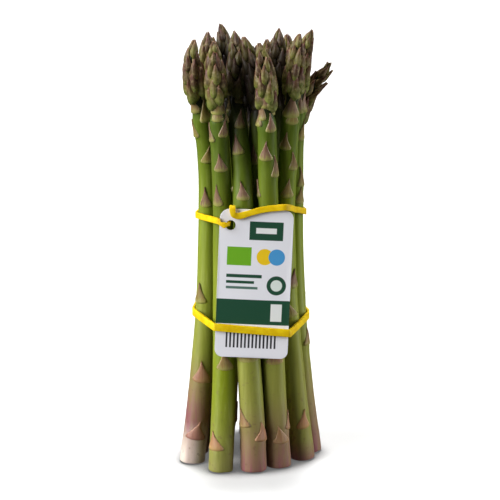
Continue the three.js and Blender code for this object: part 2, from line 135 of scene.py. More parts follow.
# %% Measures shared by all spears, in millimetres
CUT_RADIUS = 7.05
TAPER = 0.36
TAPER_POWER = 0.9
HEAD_LENGTH = 35
HEAD_RADIUS = 6
HEAD_ROUND = 0.62  # how much of a half circle of the sine the head's outline takes
HEAD_POWER = 0.75
HEAD_EVEN = 0.5  # heads differ in thickness only this much as far as stems do
SWELL_SHARE = 0.5  # of the head's length, over which the stem swells into it
TIE_HEIGHT = 144
TIE_SPACING = 11.1
SPREAD = 4.2
SPREAD_HEIGHT = 110  # below which the spears spread
SPREAD_POWER = 1.6
NOD_LENGTH = 24  # of the top of a head that hooks over
STEM_GAP = 0.5
CLEARANCE = 0.3
LEVEL_STEP = 20
LEVEL_COUNT = 13
DIVERGENCE = 137.5  # turn from one scale leaf to the next, in degrees
print("a stem of usual thickness is", 2 * CUT_RADIUS, "mm across at the cut")

# %% The spears
# ring, turn: distance from the middle spear in spacings, and bearing from the front towards +X, each at
# the cut and at the tie. tip: where the point is. sway: how late it bends above the tie. upright: height
# from which it stands straight. nod: how far the tip hooks over, towards +X. scales: height and bearing of
# each scale leaf of a front stem. blush, pale: heights up to which the skin is purple or still white. lime:
# how yellow its green is low down. Two more keys are painted shade: one says how far the green above the tie
# is darkened, the other how far the top of a spear, most often one of the second row, is darkened almost to
# black.
SPEARS = [
    dict(ring=(0, 0), turn=(0, 0), tip=(3, 1, 228), thick=0.96, start=310, blush=40, painted_head_shade=0.95),
    dict(
        ring=(1, 1), turn=(5, 18), tip=(-5, -14, 234.5), nod=-3.5, thick=0.94,
        start=60, blush=50, painted_head_shade=0.94,
    ),
    dict(ring=(1, 1), turn=(62, 84), tip=(14.3, -1, 237.5), nod=1, thick=0.95, start=20, blush=30, painted_head_shade=0.8),
    dict(ring=(1, 1.05), turn=(120, 146), tip=(8, 13, 230), thick=0.98, start=230, blush=60),
    dict(ring=(1, 1.1), turn=(180, 214), tip=(-5, 15, 231), thick=0.96, start=280, blush=35),
    dict(
        ring=(1.15, 1.15), turn=(271, 282), tip=(-17.3, 9, 239), nod=-3.5, thick=0.97,
        start=0, blush=50, painted_head_shade=0.95,
    ),
    dict(
        ring=(2.43, 2.15), turn=(-62.7, -80), tip=(-30.7, -15, 233), sway=2.2, upright=212, nod=1.2,
        thick=1, start=10, blush=62, pale=24,
        scales=[(187, 120), (181, -62), (166.5, 2), (126, -15), (97, 170), (73, -40), (44.5, 5), (13, 0)],
    ),
    dict(
        ring=(2.38, 2.12), turn=(-28, -41), tip=(-20.3, -23, 233), thick=0.97,
        start=80, lime=1, painted_stem_shade=0.35,
        scales=[(191, -5), (182.5, 30), (180, -62), (164, 0), (145, -35), (106, 150), (55, 10), (11, -40)],
    ),
    dict(
        ring=(2.05, 1.95), turn=(1.5, -13), tip=(-9.5, -4, 236.5), nod=-3, thick=1.02,
        start=150, blush=38, painted_head_shade=0.65, painted_stem_shade=0.4,
        scales=[(194, -78), (185, 15), (172, -15), (148, 0), (120, 160), (60, 0), (24, -45), (16, 60)],
    ),
    dict(
        ring=(1.86, 1.97), turn=(31, 24), tip=(3.5, -26, 232.5), nod=-3, thick=0.99,
        start=205, blush=42, painted_stem_shade=0.25,
        scales=[(192, -55), (186, 28), (170.5, -14), (161, 60), (150, -85), (58, 10), (20, 80), (13, 25)],
    ),
    dict(
        ring=(1.99, 2), turn=(68, 53.5), tip=(25, -19, 236.5), nod=1.5, thick=0.96,
        start=290, blush=12,
        scales=[(189, 10), (175, -30), (164, 45), (149, 5), (123, -160), (98, 40), (70, 10), (18, 25)],
    ),
    dict(
        ring=(2.14, 2.09), turn=(91.7, 84), tip=(32, -6, 237.5), sway=2.2, nod=4.5, thick=0.9,
        start=30, blush=58,
        scales=[(193, 20), (178, 38), (152, 55), (126, 40), (90, 150), (62, 80), (30, -120)],
    ),
    dict(ring=(2, 2), turn=(125, 112), tip=(42.5, 3, 219), sway=3.3, thick=0.9, start=120, open=1, blush=30),
    dict(
        ring=(2, 2), turn=(153, 140), tip=(19.5, 12, 233), sway=1.6, nod=-2, thick=0.94,
        start=250, blush=55,
    ),
    dict(ring=(2, 2), turn=(181, 168), tip=(12, 27, 229), thick=0.98, start=340, blush=45, pale=14),
    dict(ring=(2, 2), turn=(217, 196), tip=(-6, 28, 228), thick=0.95, start=60, blush=20, lime=0.6),
    dict(ring=(2, 2), turn=(245, 224), tip=(-22, 24, 230), thick=0.97, start=170, blush=64),
    dict(ring=(2, 2.04), turn=(272, 252), tip=(-24, -1, 235.5), thick=0.94, start=220, blush=40),
]
print("spears:", len(SPEARS))

# %% Thickness at a height
def stem_radius(spear, z):
    """Radius of the bare stem."""
    share = np.clip(z / spear["tip"][2], 0, 1)
    return CUT_RADIUS * spear["thick"] * (1 - TAPER * share**TAPER_POWER)


def head_share(spear, z):
    """How far below the tip a height is, in lengths of the head."""
    return np.maximum((spear["tip"][2] - z) / HEAD_LENGTH, 0)


def head_fullness(spear, share):
    """Radius over the scales of the head."""
    thick = 1 - HEAD_EVEN + HEAD_EVEN * spear["thick"]
    return HEAD_RADIUS * thick * np.sin(HEAD_ROUND * np.pi * np.minimum(share, 1) ** HEAD_POWER)


def envelope(spear, z):
    """Radius over everything, where the stem swells into the head."""
    share = head_share(spear, z)
    swell = np.clip((share - 1) / SWELL_SHARE, 0, 1)
    return head_fullness(spear, share) * (1 - swell) + stem_radius(spear, z) * swell


print("radius at the cut:", [round(float(stem_radius(spear, 0)), 2) for spear in SPEARS])

# %% Settling the spears side by side
SETTLE_ROUNDS = 80
USUAL_SWAY = 1.1


def mix(a, b, t):
    """What lies between two values, at a share of the way."""
    return a + (b - a) * t


def from_front(bearing, radius):
    """A place at a bearing in degrees from the front."""
    return radius * math.sin(math.radians(bearing)), -radius * math.cos(math.radians(bearing))


def route(spear, z):
    """Where a spear would run if it had no neighbours."""
    rise = min(z / TIE_HEIGHT, 1)
    eased = rise * rise * (3 - 2 * rise)
    spacing = TIE_SPACING + SPREAD * max(1 - z / SPREAD_HEIGHT, 0) ** SPREAD_POWER
    x, y = from_front(mix(*spear["turn"], eased), mix(*spear["ring"], eased) * spacing)
    if z <= TIE_HEIGHT:
        return [x, y]
    rise = min((z - TIE_HEIGHT) / (spear.get("upright", spear["tip"][2]) - TIE_HEIGHT), 1)
    share = rise ** spear.get("sway", USUAL_SWAY)
    return [mix(x, spear["tip"][0] - spear.get("nod", 0), share), mix(y, spear["tip"][1], share)]


def settle(z):
    """The places of all spears at one level, moved apart until none press into each other."""
    places = [route(spear, z) for spear in SPEARS]
    reach = (z - LEVEL_STEP / 2, z, z + LEVEL_STEP / 2)
    sizes = [max(float(envelope(spear, height)) for height in reach) for spear in SPEARS]
    for _ in range(SETTLE_ROUNDS):
        for i, first in enumerate(places):
            for j in range(i + 1, len(places)):
                if sizes[i] == 0 or sizes[j] == 0:
                    continue
                second = places[j]
                dx, dy = second[0] - first[0], second[1] - first[1]
                apart = math.hypot(dx, dy)
                push = (sizes[i] + sizes[j] + STEM_GAP - apart) / 2 / apart
                if push > 0:
                    first[0], first[1] = first[0] - dx * push, first[1] - dy * push
                    second[0], second[1] = second[0] + dx * push, second[1] + dy * push
    return places


LEVELS = np.array([settle(level * LEVEL_STEP) for level in range(LEVEL_COUNT)])
LEVELS -= LEVELS[0][0]
print("levels settled:", LEVELS.shape)

# %% Centrelines
CENTRE_HEIGHTS = np.arange(0, 252, 0.5)
LAST_LEVEL = LEVEL_COUNT - 1


def smooth_places(index):
    """A smooth curve (Catmull-Rom) through one spear's settled places, at every half millimetre."""
    along = np.clip(CENTRE_HEIGHTS / LEVEL_STEP, 0, LAST_LEVEL - 0.001)
    level = along.astype(int)
    t = (along - level)[:, None]
    a, b, c, d = [LEVELS[np.clip(level + step, 0, LAST_LEVEL), index] for step in (-1, 0, 1, 2)]
    line = b + 0.5 * ((c - a) * t + (2 * a - 5 * b + 4 * c - d) * t**2 + (3 * b - a - 3 * c + d) * t**3)
    above = np.maximum((CENTRE_HEIGHTS - SPEARS[index]["tip"][2]) / NOD_LENGTH + 1, 0)
    line[:, 0] += SPEARS[index].get("nod", 0) * above**2
    return line


CENTRES = [smooth_places(index) for index in range(len(SPEARS))]


def centre(index, z):
    """The centreline's x and y at a height."""
    line = CENTRES[index]
    return np.interp(z, CENTRE_HEIGHTS, line[:, 0]), np.interp(z, CENTRE_HEIGHTS, line[:, 1])


print("points on a centreline:", len(CENTRE_HEIGHTS))

# %% [markdown]
# ## Where the card and the bands lie
#
# The card rests on the foremost stems, turned a little in its own plane. Each band keeps to a height
# that changes a little round the bundle. Both are needed before the spears are made, because they press
# the scale leaves flat.

# %% The card's own axes
CARD = dict(width=39.4, height=80.8, thickness=0.6, corner=4.4, centre_x=1, centre_z=104, roll=2.4)
HOLE = dict(across=-13.7, up=31.5, radius=2.65)
SCALE_RISE = 0.85  # how far a scale leaf stands off the stem
TUCKED_RISE = 0.3  # and behind the card
CARD_AIR = CLEARANCE + TUCKED_RISE + 0.05  # between the foremost stem and the card


def front_of_stems(z):
    """How far forward the foremost stem reaches."""
    return min(float(centre(i, z)[1] - stem_radius(spear, z)) for i, spear in enumerate(SPEARS))


card_low, card_high = [CARD["centre_z"] + side * (CARD["height"] / 2 + 1) for side in (-1, 1)]
y_low, y_high = front_of_stems(card_low) - CARD_AIR, front_of_stems(card_high) - CARD_AIR
lean = math.atan2(y_high - y_low, card_high - card_low)
roll = math.radians(CARD["roll"])
FORWARD = np.array([0, -math.cos(lean), math.sin(lean)])
UP = np.array([math.sin(roll), math.sin(lean) * math.cos(roll), math.cos(lean) * math.cos(roll)])
ACROSS = -np.cross(FORWARD, UP)
card_middle = np.array([CARD["centre_x"], (y_low + y_high) / 2, CARD["centre_z"]])
CARD_ORIGIN = card_middle + FORWARD * CARD["thickness"]
print("card leans", round(math.degrees(lean), 2), "degrees")


def on_card(across, up, out):
    """A point from the middle of the card's front face."""
    across, up, out = (np.asarray(v, float)[..., None] for v in (across, up, out))
    return CARD_ORIGIN + across * ACROSS + up * UP + out * FORWARD


# %% The bands' heights
LOWER_WIDTH = 4.2
UPPER_WIDTH = 3.4  # it is stretched further
BAND_THICKNESS = 1.3
BAND_INSET = 0.45  # from a stem to the band's inner face
LOWER_BAND = [
    (-180, 83), (-75, 83.8), (-58, 83), (-39, 81.3), (-17, 79.8),
    (16, 77.8), (52, 77.2), (80, 79.4), (100, 81), (180, 83),
]
UPPER_BAND = [
    (-180, 137), (-100, 136.5), (-75, 137), (-50, 138), (-33, 138.4),
    (33, 145.4), (58, 142), (90, 138), (180, 137),
]


def band_height(band, bearing):
    """The height of a band's middle at a bearing, easing from one listed height to the next."""
    at, height = np.array(band, float).T
    step = np.clip(np.searchsorted(at, bearing), 1, len(at) - 1)
    t = (np.asarray(bearing) - at[step - 1]) / (at[step] - at[step - 1])
    return mix(height[step - 1], height[step], 0.5 - 0.5 * np.cos(np.pi * t))


in_front = [float(band_height(band, 0).round(1)) for band in (LOWER_BAND, UPPER_BAND)]
print("the bands' heights in front:", in_front)

# %% [markdown]
# ## Scale leaves
#
# The scales are thin fleshy leaves pressed to the stem. A low one is a triangle on a flat base line. One
# in the head is a drop with a round foot, widest a third of the way up. They could be sculpted one by one,
# but there are hundreds, so each form is one closed leaf of 84 faces, made once in its own coordinates:
# across in half widths, up in lengths, and out in thicknesses. The node tree then sizes and bends it.

# %% The two leaf forms
LEAF_COLUMNS = np.array([-1, -0.8, -0.42, 0, 0.42, 0.8, 1])
LEAF_FRONT = 0.12  # how far the front stands off even where it doesn't bulge
LEAF_BACK = -0.25  # how deep the flat back lies in the stem
DOME_POWER = 2.2
BACK_EDGE = 0.5  # the back counts as half way to the rim


def leaf_form(name, rows, half_widths, bulges, foot, edge):
    """A closed leaf: a bulging front over a flat back. foot curves its base line, and edge raises its rim."""
    columns = len(LEAF_COLUMNS)
    u, v = np.meshgrid(LEAF_COLUMNS, rows)
    width, bulge = [np.repeat(values, columns).reshape(-1, columns) for values in (half_widths, bulges)]
    up = v + foot * u**2 * (1 - v) ** 3
    dome = bulge * (1 - (1 - edge) * np.abs(u) ** DOME_POWER)
    front = np.stack([u * width, up, dome + LEAF_FRONT], -1).reshape(-1, 3)
    back = np.stack([u * width, up, np.full_like(u, LEAF_BACK)], -1)[:, 1:-1].reshape(-1, 3)
    points = np.vstack([front, back])
    count, inner = len(rows), columns - 2
    front_at = lambda row, column: row * columns + column
    behind = lambda row, column: count * columns + row * inner + column - 1
    back_at = lambda row, column: (front_at if column in (0, columns - 1) else behind)(row, column)
    faces = []
    for row in range(count - 1):
        for column in range(columns - 1):
            round_a_cell = [(row, column), (row, column + 1), (row + 1, column + 1), (row + 1, column)]
            faces.append(tuple(front_at(*spot) for spot in round_a_cell))
            faces.append(tuple(back_at(*round_a_cell[-step]) for step in range(4)))
    for row in (0, count - 1):
        for column in range(columns - 1):
            this, that = (row, column), (row, column + 1)
            face = list(dict.fromkeys([front_at(*this), back_at(*this), back_at(*that), front_at(*that)]))
            faces.append(tuple(face if row == 0 else face[::-1]))
    leaf = mesh_object(name, points, faces)
    for axis, fact_name in enumerate(("across", "up", "out")):
        write_attribute(leaf.data, fact_name, points[:, axis])
    write_attribute(leaf.data, "edge", np.concatenate([np.abs(u).ravel(), np.full(len(back), BACK_EDGE)]))
    return leaf


stem_leaf = leaf_form(
    "stem_leaf",
    rows=np.array([0, 0.05, 0.15, 0.32, 0.54, 0.78, 1]),
    half_widths=[0.84, 0.98, 1, 0.74, 0.42, 0.17, 0.015],
    bulges=[0.2, 1.0, 0.95, 0.75, 0.62, 0.6, 0.5],
    foot=0.06,
    edge=0.4,
)
head_leaf = leaf_form(
    "head_leaf",
    rows=np.array([0, 0.07, 0.2, 0.38, 0.6, 0.82, 1]),
    half_widths=[0.3, 0.7, 0.95, 1, 0.72, 0.32, 0.02],
    bulges=[0.35, 0.85, 1, 0.9, 0.66, 0.42, 0.25],
    foot=0.14,
    edge=0.12,
)
print("faces in a leaf:", len(stem_leaf.data.polygons), len(head_leaf.data.polygons))

# %% Where the leaves sit along a stem
SCALE_LENGTH = 11
SCALE_WIDTH = (2.2, 1.5)  # in radii of the stem, low down and from the tie up
OUTER_RING = 1.5  # spears further out than this touch the bands
FREE_OF_HEAD = 7  # from the head down to the highest leaf on the stem
FIRST_STEP, STEP_GROWTH = 11, 1.4  # from that leaf down to the next, and how much more each time
LOWEST_LEAF = 9
POINT_BELOW_BAND, FOOT_ABOVE_BAND = 1.5, 2.5


def beside_bands(index, height):
    """Lifts a leaf that a band would cross until it stands just above the band."""
    if SPEARS[index]["ring"][1] < OUTER_RING:
        return height
    x, y = centre(index, height)
    bearing = math.degrees(math.atan2(x, -y))
    low, high = -SCALE_LENGTH - LOWER_WIDTH / 2 - POINT_BELOW_BAND, LOWER_WIDTH / 2 + FOOT_ABOVE_BAND
    for band in (LOWER_BAND, UPPER_BAND):
        middle = float(band_height(band, bearing))
        if middle + low < height < middle + high:
            return middle + high
    return height


def behind_card(index, z):
    """Whether a leaf starting at a height lies under the card, on one of the foremost stems."""
    off = np.array([*centre(index, z), z]) - CARD_ORIGIN
    leaf_middle = off @ UP + SCALE_LENGTH / 2
    beside = abs(off @ ACROSS) < CARD["width"] / 2
    level = abs(leaf_middle) < (CARD["height"] + SCALE_LENGTH) / 2 + 1
    return beside and level and off @ FORWARD > -2 * CUT_RADIUS


def scale_places(index):
    """Height and bearing of each leaf on the stem: listed, or closer together the nearer to the head."""
    spear = SPEARS[index]
    places = list(spear.get("scales", []))
    z, bearing, step = spear["tip"][2] - HEAD_LENGTH - FREE_OF_HEAD, spear["start"], FIRST_STEP
    while "scales" not in spear and z > LOWEST_LEAF:
        places.append((z, bearing))
        z, bearing, step = z - step, bearing + DIVERGENCE, step * STEP_GROWTH
    return [(beside_bands(index, height), turn) for height, turn in places]


print("leaves on the stems:", sum(len(scale_places(index)) for index in range(len(SPEARS))))

# %% Every leaf of one spear
HEAD_LEAVES = 27
COLLAR = (-1, 3.5, 9)  # how far below the head its biggest, loosest leaves start
COLLAR_LENGTH, COLLAR_LIFT, COLLAR_SPREAD = 13.5, 1.15, 0.3
WITHERED_BELOW = 35  # leaves near the cut have dried and shrunk
HEAD_SPAN = (1.04, 0.05)  # where the head's first and last leaf start, in head lengths below the tip
HEAD_LEAF_LENGTHS, HEAD_LEAF_WIDTHS = (7.5, 13.5), (2.6, 8.4)  # at the tip and at the foot of the head
HEAD_LEAF_LIFTS = (0.45, 0.44)  # how far one stands off: this much, and more for each mm of the head's radius
TIP_OVERSHOOT = 0.6
CLOSED, OPENED = 0.4, 1.8  # how far the leaves of a head stand open
LEAF_FACTS = ("kind", "rise", "bearing", "half_width", "length", "lift", "lean", "spread", "whim")


def leaves_of(index, draw):
    """One row of facts for each leaf, in the order of LEAF_FACTS. kind is 1 on the stem and 2 in the head."""
    spear = SPEARS[index]
    rows = []
    for z, bearing in scale_places(index):
        lift = TUCKED_RISE if behind_card(index, z) else SCALE_RISE
        half_width = mix(*SCALE_WIDTH, min(z / TIE_HEIGHT, 1)) * stem_radius(spear, z) / 2
        half_width *= draw.uniform(0.86, 1.08)
        half_width *= 1 if z > WITHERED_BELOW else draw.uniform(0.55, 0.85)
        length = SCALE_LENGTH * draw.uniform(0.9, 1.15)
        own_ways = (draw.uniform(-2.4, 2.4), draw.uniform(0, 0.6), draw.random())
        rows.append((1, z, bearing, half_width, length, lift, *own_ways))
    for k, below in enumerate(COLLAR):
        z = spear["tip"][2] - HEAD_LENGTH - below
        half_width = 1.15 * stem_radius(spear, z) * draw.uniform(0.9, 1.05)
        bearing = spear["start"] + DIVERGENCE * (k + 1) + draw.uniform(-15, 15)
        length = COLLAR_LENGTH * draw.uniform(0.9, 1.1)
        own_ways = (draw.uniform(-1, 1), COLLAR_SPREAD, draw.random())
        rows.append((1, z, bearing, half_width, length, COLLAR_LIFT, *own_ways))
    for k in range(HEAD_LEAVES):
        share = mix(*HEAD_SPAN, k / (HEAD_LEAVES - 1))
        z = spear["tip"][2] - share * HEAD_LENGTH
        full = float(head_fullness(spear, head_share(spear, z + 3)))
        length = mix(*HEAD_LEAF_LENGTHS, share) * draw.uniform(0.82, 1.16)
        length = min(length, spear["tip"][2] + TIP_OVERSHOOT - z)
        spread = (OPENED if "open" in spear else CLOSED) * draw.uniform(-0.3, 1.4)
        half_width = mix(*HEAD_LEAF_WIDTHS, min(share, 1)) / 2 * draw.uniform(0.8, 1.1)
        bearing = spear["start"] - DIVERGENCE * (k + 1) + draw.uniform(-12, 12)
        lift = HEAD_LEAF_LIFTS[0] + HEAD_LEAF_LIFTS[1] * full
        rows.append((2, z, bearing, half_width, length, lift, draw.uniform(-1, 1), spread, draw.random()))
    return np.array(rows, float)


print("leaves on the first spear:", len(leaves_of(0, np.random.default_rng(0))))

# %% [markdown]
# ## Growing a spear with Geometry Nodes
#
# All 18 spears follow one rule, so one node tree grows them. What goes in is a bare line of points up the
# middle, with the core's radius and the head's radius stored on it, and one loose point for each leaf with
# its facts. The tree sweeps a circle along the line for the stem. Then it places a leaf on each loose
# point, and wraps it round: `turn` is the bearing, `rise` the distance along the line, and `reach` the
# distance out from it. A leaf made straight in this way follows any bend of its spear.

# %% The node tree's inputs, and the facts that it reads
grow = bpy.data.node_groups.new("grow_spear", "GeometryNodeTree")
grow.interface.new_socket("Geometry", in_out="OUTPUT", socket_type="NodeSocketGeometry")
for socket_name, socket_type in {
    "Geometry": "NodeSocketGeometry",
    "Stem Leaf": "NodeSocketObject",
    "Head Leaf": "NodeSocketObject",
    "Sides": "NodeSocketInt",
    "Unevenness": "NodeSocketFloat",
    "Seed": "NodeSocketFloat",
    "Skin": "NodeSocketMaterial",
}.items():
    grow.interface.new_socket(socket_name, in_out="INPUT", socket_type=socket_type)
given = add(grow, "NodeGroupInput").node.outputs
fact = {
    name: add(grow, "GeometryNodeInputNamedAttribute", {"Name": name}, data_type="FLOAT")
    for name in (*LEAF_FACTS, "core", "sheath", "dome", "across", "up", "out")
}
print("facts that the tree reads:", *fact)

# %% The swept stem
LINE, ON_STEM, IN_HEAD = 0, 1, 2  # the kinds of point that go in
LEAST_CORE = 0.05  # a line thinner than this is swept no further

points_of = {}
for number in (LINE, ON_STEM, IN_HEAD):
    same = {"A": fact["kind"], "B": float(number)}
    chosen = {
        "Geometry": given["Geometry"],
        "Selection": add(grow, "FunctionNodeCompare", same, data_type="FLOAT", operation="EQUAL"),
    }
    points_of[number] = add(grow, "GeometryNodeSeparateGeometry", chosen, domain="POINT")
middle_line = add(grow, "GeometryNodeMeshToCurve", {"Mesh": points_of[LINE]})
thick_enough = {"A": fact["core"], "B": LEAST_CORE}
solid_part = add(grow, "FunctionNodeCompare", thick_enough, data_type="FLOAT", operation="GREATER_THAN")
chosen = {"Geometry": middle_line, "Selection": solid_part}
core_line = add(grow, "GeometryNodeSeparateGeometry", chosen, domain="POINT")
round_outline = {"Resolution": given["Sides"], "Radius": 1.0}
circle = add(grow, "GeometryNodeCurvePrimitiveCircle", round_outline, mode="RADIUS")
swept = {"Curve": core_line, "Profile Curve": circle, "Scale": fact["core"], "Fill Caps": True}
stem = add(grow, "GeometryNodeCurveToMesh", swept)
print("kinds of point:", *points_of)

# %% The stem's unevenness: soft ribs along it, never quite round
RIBS = (0.22, 0.22, 0.016)  # noise in a millimetre: ribs about 4.5 mm wide and 60 mm long

place = add(grow, "GeometryNodeInputPosition")
rib_place = add(grow, "ShaderNodeVectorMath", {0: place, 1: RIBS}, operation="MULTIPLY")
rib_noise = {"Vector": rib_place, "W": given["Seed"], "Scale": 1.0, "Detail": 2.0}
ribs = add(grow, "ShaderNodeTexNoise", rib_noise, noise_dimensions="4D")
either_way = add(grow, "ShaderNodeMath", {0: ribs, 1: 0.5}, operation="SUBTRACT")
amount = add(grow, "ShaderNodeMath", {0: either_way, 1: given["Unevenness"]}, operation="MULTIPLY")
straight_out = add(grow, "GeometryNodeInputNormal")
outward = add(grow, "ShaderNodeVectorMath", {0: straight_out, "Scale": amount}, operation="SCALE")
stem = add(grow, "GeometryNodeSetPosition", {"Geometry": stem, "Offset": outward})
print("ribs:", round(1 / RIBS[0], 1), "mm wide and", round(1 / RIBS[2]), "mm long")

# %% The leaves, placed on their points
join = grow.nodes.new("GeometryNodeJoinGeometry")
for number, leaf_input in ((ON_STEM, "Stem Leaf"), (IN_HEAD, "Head Leaf")):
    leaf_shape = add(grow, "GeometryNodeObjectInfo", {"Object": given[leaf_input]}).node.outputs["Geometry"]
    on_points = {"Points": points_of[number], "Instance": leaf_shape}
    grow.links.new(add(grow, "GeometryNodeInstanceOnPoints", on_points), join.inputs[0])
leaves = add(grow, "GeometryNodeRealizeInstances", {"Geometry": join.outputs[0]})
print("leaf forms placed:", len(join.inputs[0].links))

# %% Where each point of a leaf goes: its distance out and its bearing
HEAD_FOOT = 0.44  # a head leaf's foot lies this deep in the head's dome, as a share of its radius
HEAD_RISE = 0.34  # and its tip lies this much further out
LEAST_REACH = 0.15
LEAST_ROUND = 1.0  # the tightest circle that a leaf is wrapped round

# Each step is a result, an operation, and the facts or numbers that it works on.
BEFORE_SAMPLING = [("way", "MULTIPLY", "up", "length"), ("way", "ADD", "rise", "way")]
OVER_THE_HEAD = [
    ("bend", "MULTIPLY", "up", "up"),
    ("depth", "MULTIPLY", "up", HEAD_RISE),
    ("depth", "ADD", "depth", HEAD_FOOT),
    ("over_head", "MULTIPLY", "dome here", "depth"),
    ("in_head", "SUBTRACT", "kind", float(ON_STEM)),
]
OUT_AND_ROUND = [
    ("outer", "MULTIPLY", "out", "lift"),
    ("reach", "ADD", "base", "outer"),
    ("tilt", "SUBTRACT", "whim", 0.5),
    ("tilt", "MULTIPLY", "up", "tilt"),
    ("tilt", "MULTIPLY", "across", "tilt"),
    ("flare", "MULTIPLY", "spread", "bend"),
    ("flare", "ADD", "flare", "tilt"),
    ("reach", "ADD", "reach", "flare"),
    ("reach", "MAXIMUM", "reach", LEAST_REACH),
    ("aside", "MULTIPLY", "across", "half_width"),
    ("swerve", "MULTIPLY", "lean", "bend"),
    ("aside", "ADD", "aside", "swerve"),
    ("round", "MAXIMUM", "reach", LEAST_ROUND),
    ("turn", "DIVIDE", "aside", "round"),
    ("turn", "ADD", "bearing", "turn"),
    ("to front", "COSINE", "turn"),
    ("to front", "MULTIPLY", "reach", "to front"),
    ("to side", "SINE", "turn"),
    ("to side", "MULTIPLY", "reach", "to side"),
]


def work_through(steps):
    """Adds the nodes for a list of steps. Each result joins the facts, for the steps after it."""
    for result, operation, *operands in steps:
        values = {i: fact.get(operand, operand) for i, operand in enumerate(operands)}
        fact[result] = add(grow, "ShaderNodeMath", values, operation=operation)


work_through(BEFORE_SAMPLING)
for name in ("sheath", "dome"):
    sampled = {"Curves": middle_line, "Value": fact[name], "Length": fact["way"]}
    fact[name + " here"] = add(grow, "GeometryNodeSampleCurve", sampled, mode="LENGTH")
work_through(OVER_THE_HEAD)
base = {"Factor": fact["in_head"], "A": fact["sheath here"], "B": fact["over_head"]}
fact["base"] = add(grow, "ShaderNodeMix", base, data_type="FLOAT")
work_through(OUT_AND_ROUND)
print("facts and results:", len(fact))

# %% The leaves, wrapped round the line
on_line = fact["dome here"].node.outputs
tangent = on_line["Tangent"]
facing = add(grow, "ShaderNodeVectorMath", {0: (0.0, -1.0, 0.0), 1: tangent}, operation="CROSS_PRODUCT")
side = add(grow, "ShaderNodeVectorMath", {0: facing}, operation="NORMALIZE")
side = add(grow, "ShaderNodeVectorMath", {0: side, "Scale": -1.0}, operation="SCALE")
front = add(grow, "ShaderNodeVectorMath", {0: side, 1: tangent}, operation="CROSS_PRODUCT")
wrapped = on_line["Position"]
for direction, distance in ((front, fact["to front"]), (side, fact["to side"])):
    step = add(grow, "ShaderNodeVectorMath", {0: direction, "Scale": distance}, operation="SCALE")
    wrapped = add(grow, "ShaderNodeVectorMath", {0: wrapped, 1: step}, operation="ADD")
leaves = add(grow, "GeometryNodeSetPosition", {"Geometry": leaves, "Position": wrapped})
print("nodes for stem and leaves:", len(grow.nodes))

# %% Stem and leaves together
whole = grow.nodes.new("GeometryNodeJoinGeometry")
grow.links.new(leaves, whole.inputs[0])
grow.links.new(stem, whole.inputs[0])
whole = add(grow, "GeometryNodeSetShadeSmooth", {"Geometry": whole.outputs[0]})
whole = add(grow, "GeometryNodeRealizeInstances", {"Geometry": whole})
whole = add(grow, "GeometryNodeSetMaterial", {"Geometry": whole, "Material": given["Skin"]})
add(grow, "NodeGroupOutput", {0: whole})
print("nodes in the growing tree:", len(grow.nodes))

# %% [markdown]
# ## The skin of a spear
#
# Fresh asparagus skin is a smooth waxy cuticle over green flesh: a soft broad gloss, never a sharp one.
# The stem is clear green near the head, olive lower down, and flushed purple where the soil shaded it.
# Faint lighter and darker streaks run along it. A scale leaf is taupe to purple, with a yellow-green foot
# and a thin pale margin. Each of these is a layer of colour over the last, as thin glazes are on a
# painting. A layer covers as far as its shares allow: a pattern, a height, or a fact stored on the mesh.
# Three of the layers are painted shade: they darken the green above the tie on some stems, the core where it
# shows between a head's scales, and the top of some spears, most in the second row, almost to black.

# %% Asparagus skin
def new_material(name, values):
    """A material with its tree and its shader's sockets. The values are those that are even all over it."""
    made = bpy.data.materials.new(name)
    made.use_nodes = True
    sockets = made.node_tree.nodes["Principled BSDF"].inputs
    for socket, value in values.items():
        sockets[socket].default_value = value
    return made, made.node_tree, sockets


skin, tree, surface = new_material(
    "waxy_asparagus_skin",
    {
        "IOR": 1.42,  # plant cuticle wax
        "Specular IOR Level": 0.3,
        "Subsurface Weight": 0.08,
        "Subsurface Radius": (0.9, 1.0, 0.35),
        "Subsurface Scale": 0.002,
    },
)
print("skin:", skin.name)

# %% What its colours follow
object_place = add(tree, "ShaderNodeTexCoord").node.outputs["Object"]
height = add(tree, "ShaderNodeSeparateXYZ", {"Vector": object_place}).node.outputs["Z"]
MARKS = ("kind", "up", "edge", "whim", "across", "blush", "pale", "lime", "painted_stem_shade", "painted_head_shade", "below_tip", "head")
mark = {name: add(tree, "ShaderNodeAttribute", attribute_name=name).node.outputs["Fac"] for name in MARKS}
kind, up, whim = mark["kind"], mark["up"], mark["whim"]
NOISES = {  # the noise in a metre, how much finer noise is in it, and how strong that is
    "streaks": ((650.0, 650.0, 26.0), 3.0, 0.6),  # 1.5 mm wide and 40 mm long
    "clouds": ((120.0, 120.0, 22.0), 2.0, 0.5),  # 8 mm wide and 45 mm long
    "flecks": ((330.0, 330.0, 330.0), 2.0, 0.5),  # 3 mm apart
    "mottle": ((560.0, 560.0, 560.0), 3.0, 0.6),  # 2 mm, so that a scale has a few
}
noise = {}
for name, (repeats, detail, roughness) in NOISES.items():
    noise_place = add(tree, "ShaderNodeMapping", {"Vector": object_place, "Scale": repeats})
    settings = {"Vector": noise_place, "Scale": 1.0, "Detail": detail, "Roughness": roughness}
    noise[name] = add(tree, "ShaderNodeTexNoise", settings)
streaks, clouds = noise["streaks"], noise["clouds"]
print("what the skin follows:", *mark, *noise)

# %% The stem's greens, by height in metres
def share_of(tree, *parts, easing="SMOOTHSTEP"):
    """How far a layer covers: its parts multiplied. A part is a value, or a value and its limits. The
    first two limits become 0 and 1, or the third and fourth limit where those are given."""
    names = ("Value", "From Min", "From Max", "To Min", "To Max")
    share = None
    for part in parts:
        if isinstance(part, tuple):
            part = add(tree, "ShaderNodeMapRange", dict(zip(names, part)), interpolation_type=easing)
        both = {0: share, 1: part}
        share = part if share is None else add(tree, "ShaderNodeMath", both, operation="MULTIPLY")
    return share


GREENS = {
    0.0: "#8b864b", 0.045: "#8c8c40", 0.09: "#868f33",
    0.13: "#7f8f26", 0.165: "#67791d", 0.2: "#4a6016",
}
GREENS_END = 0.24

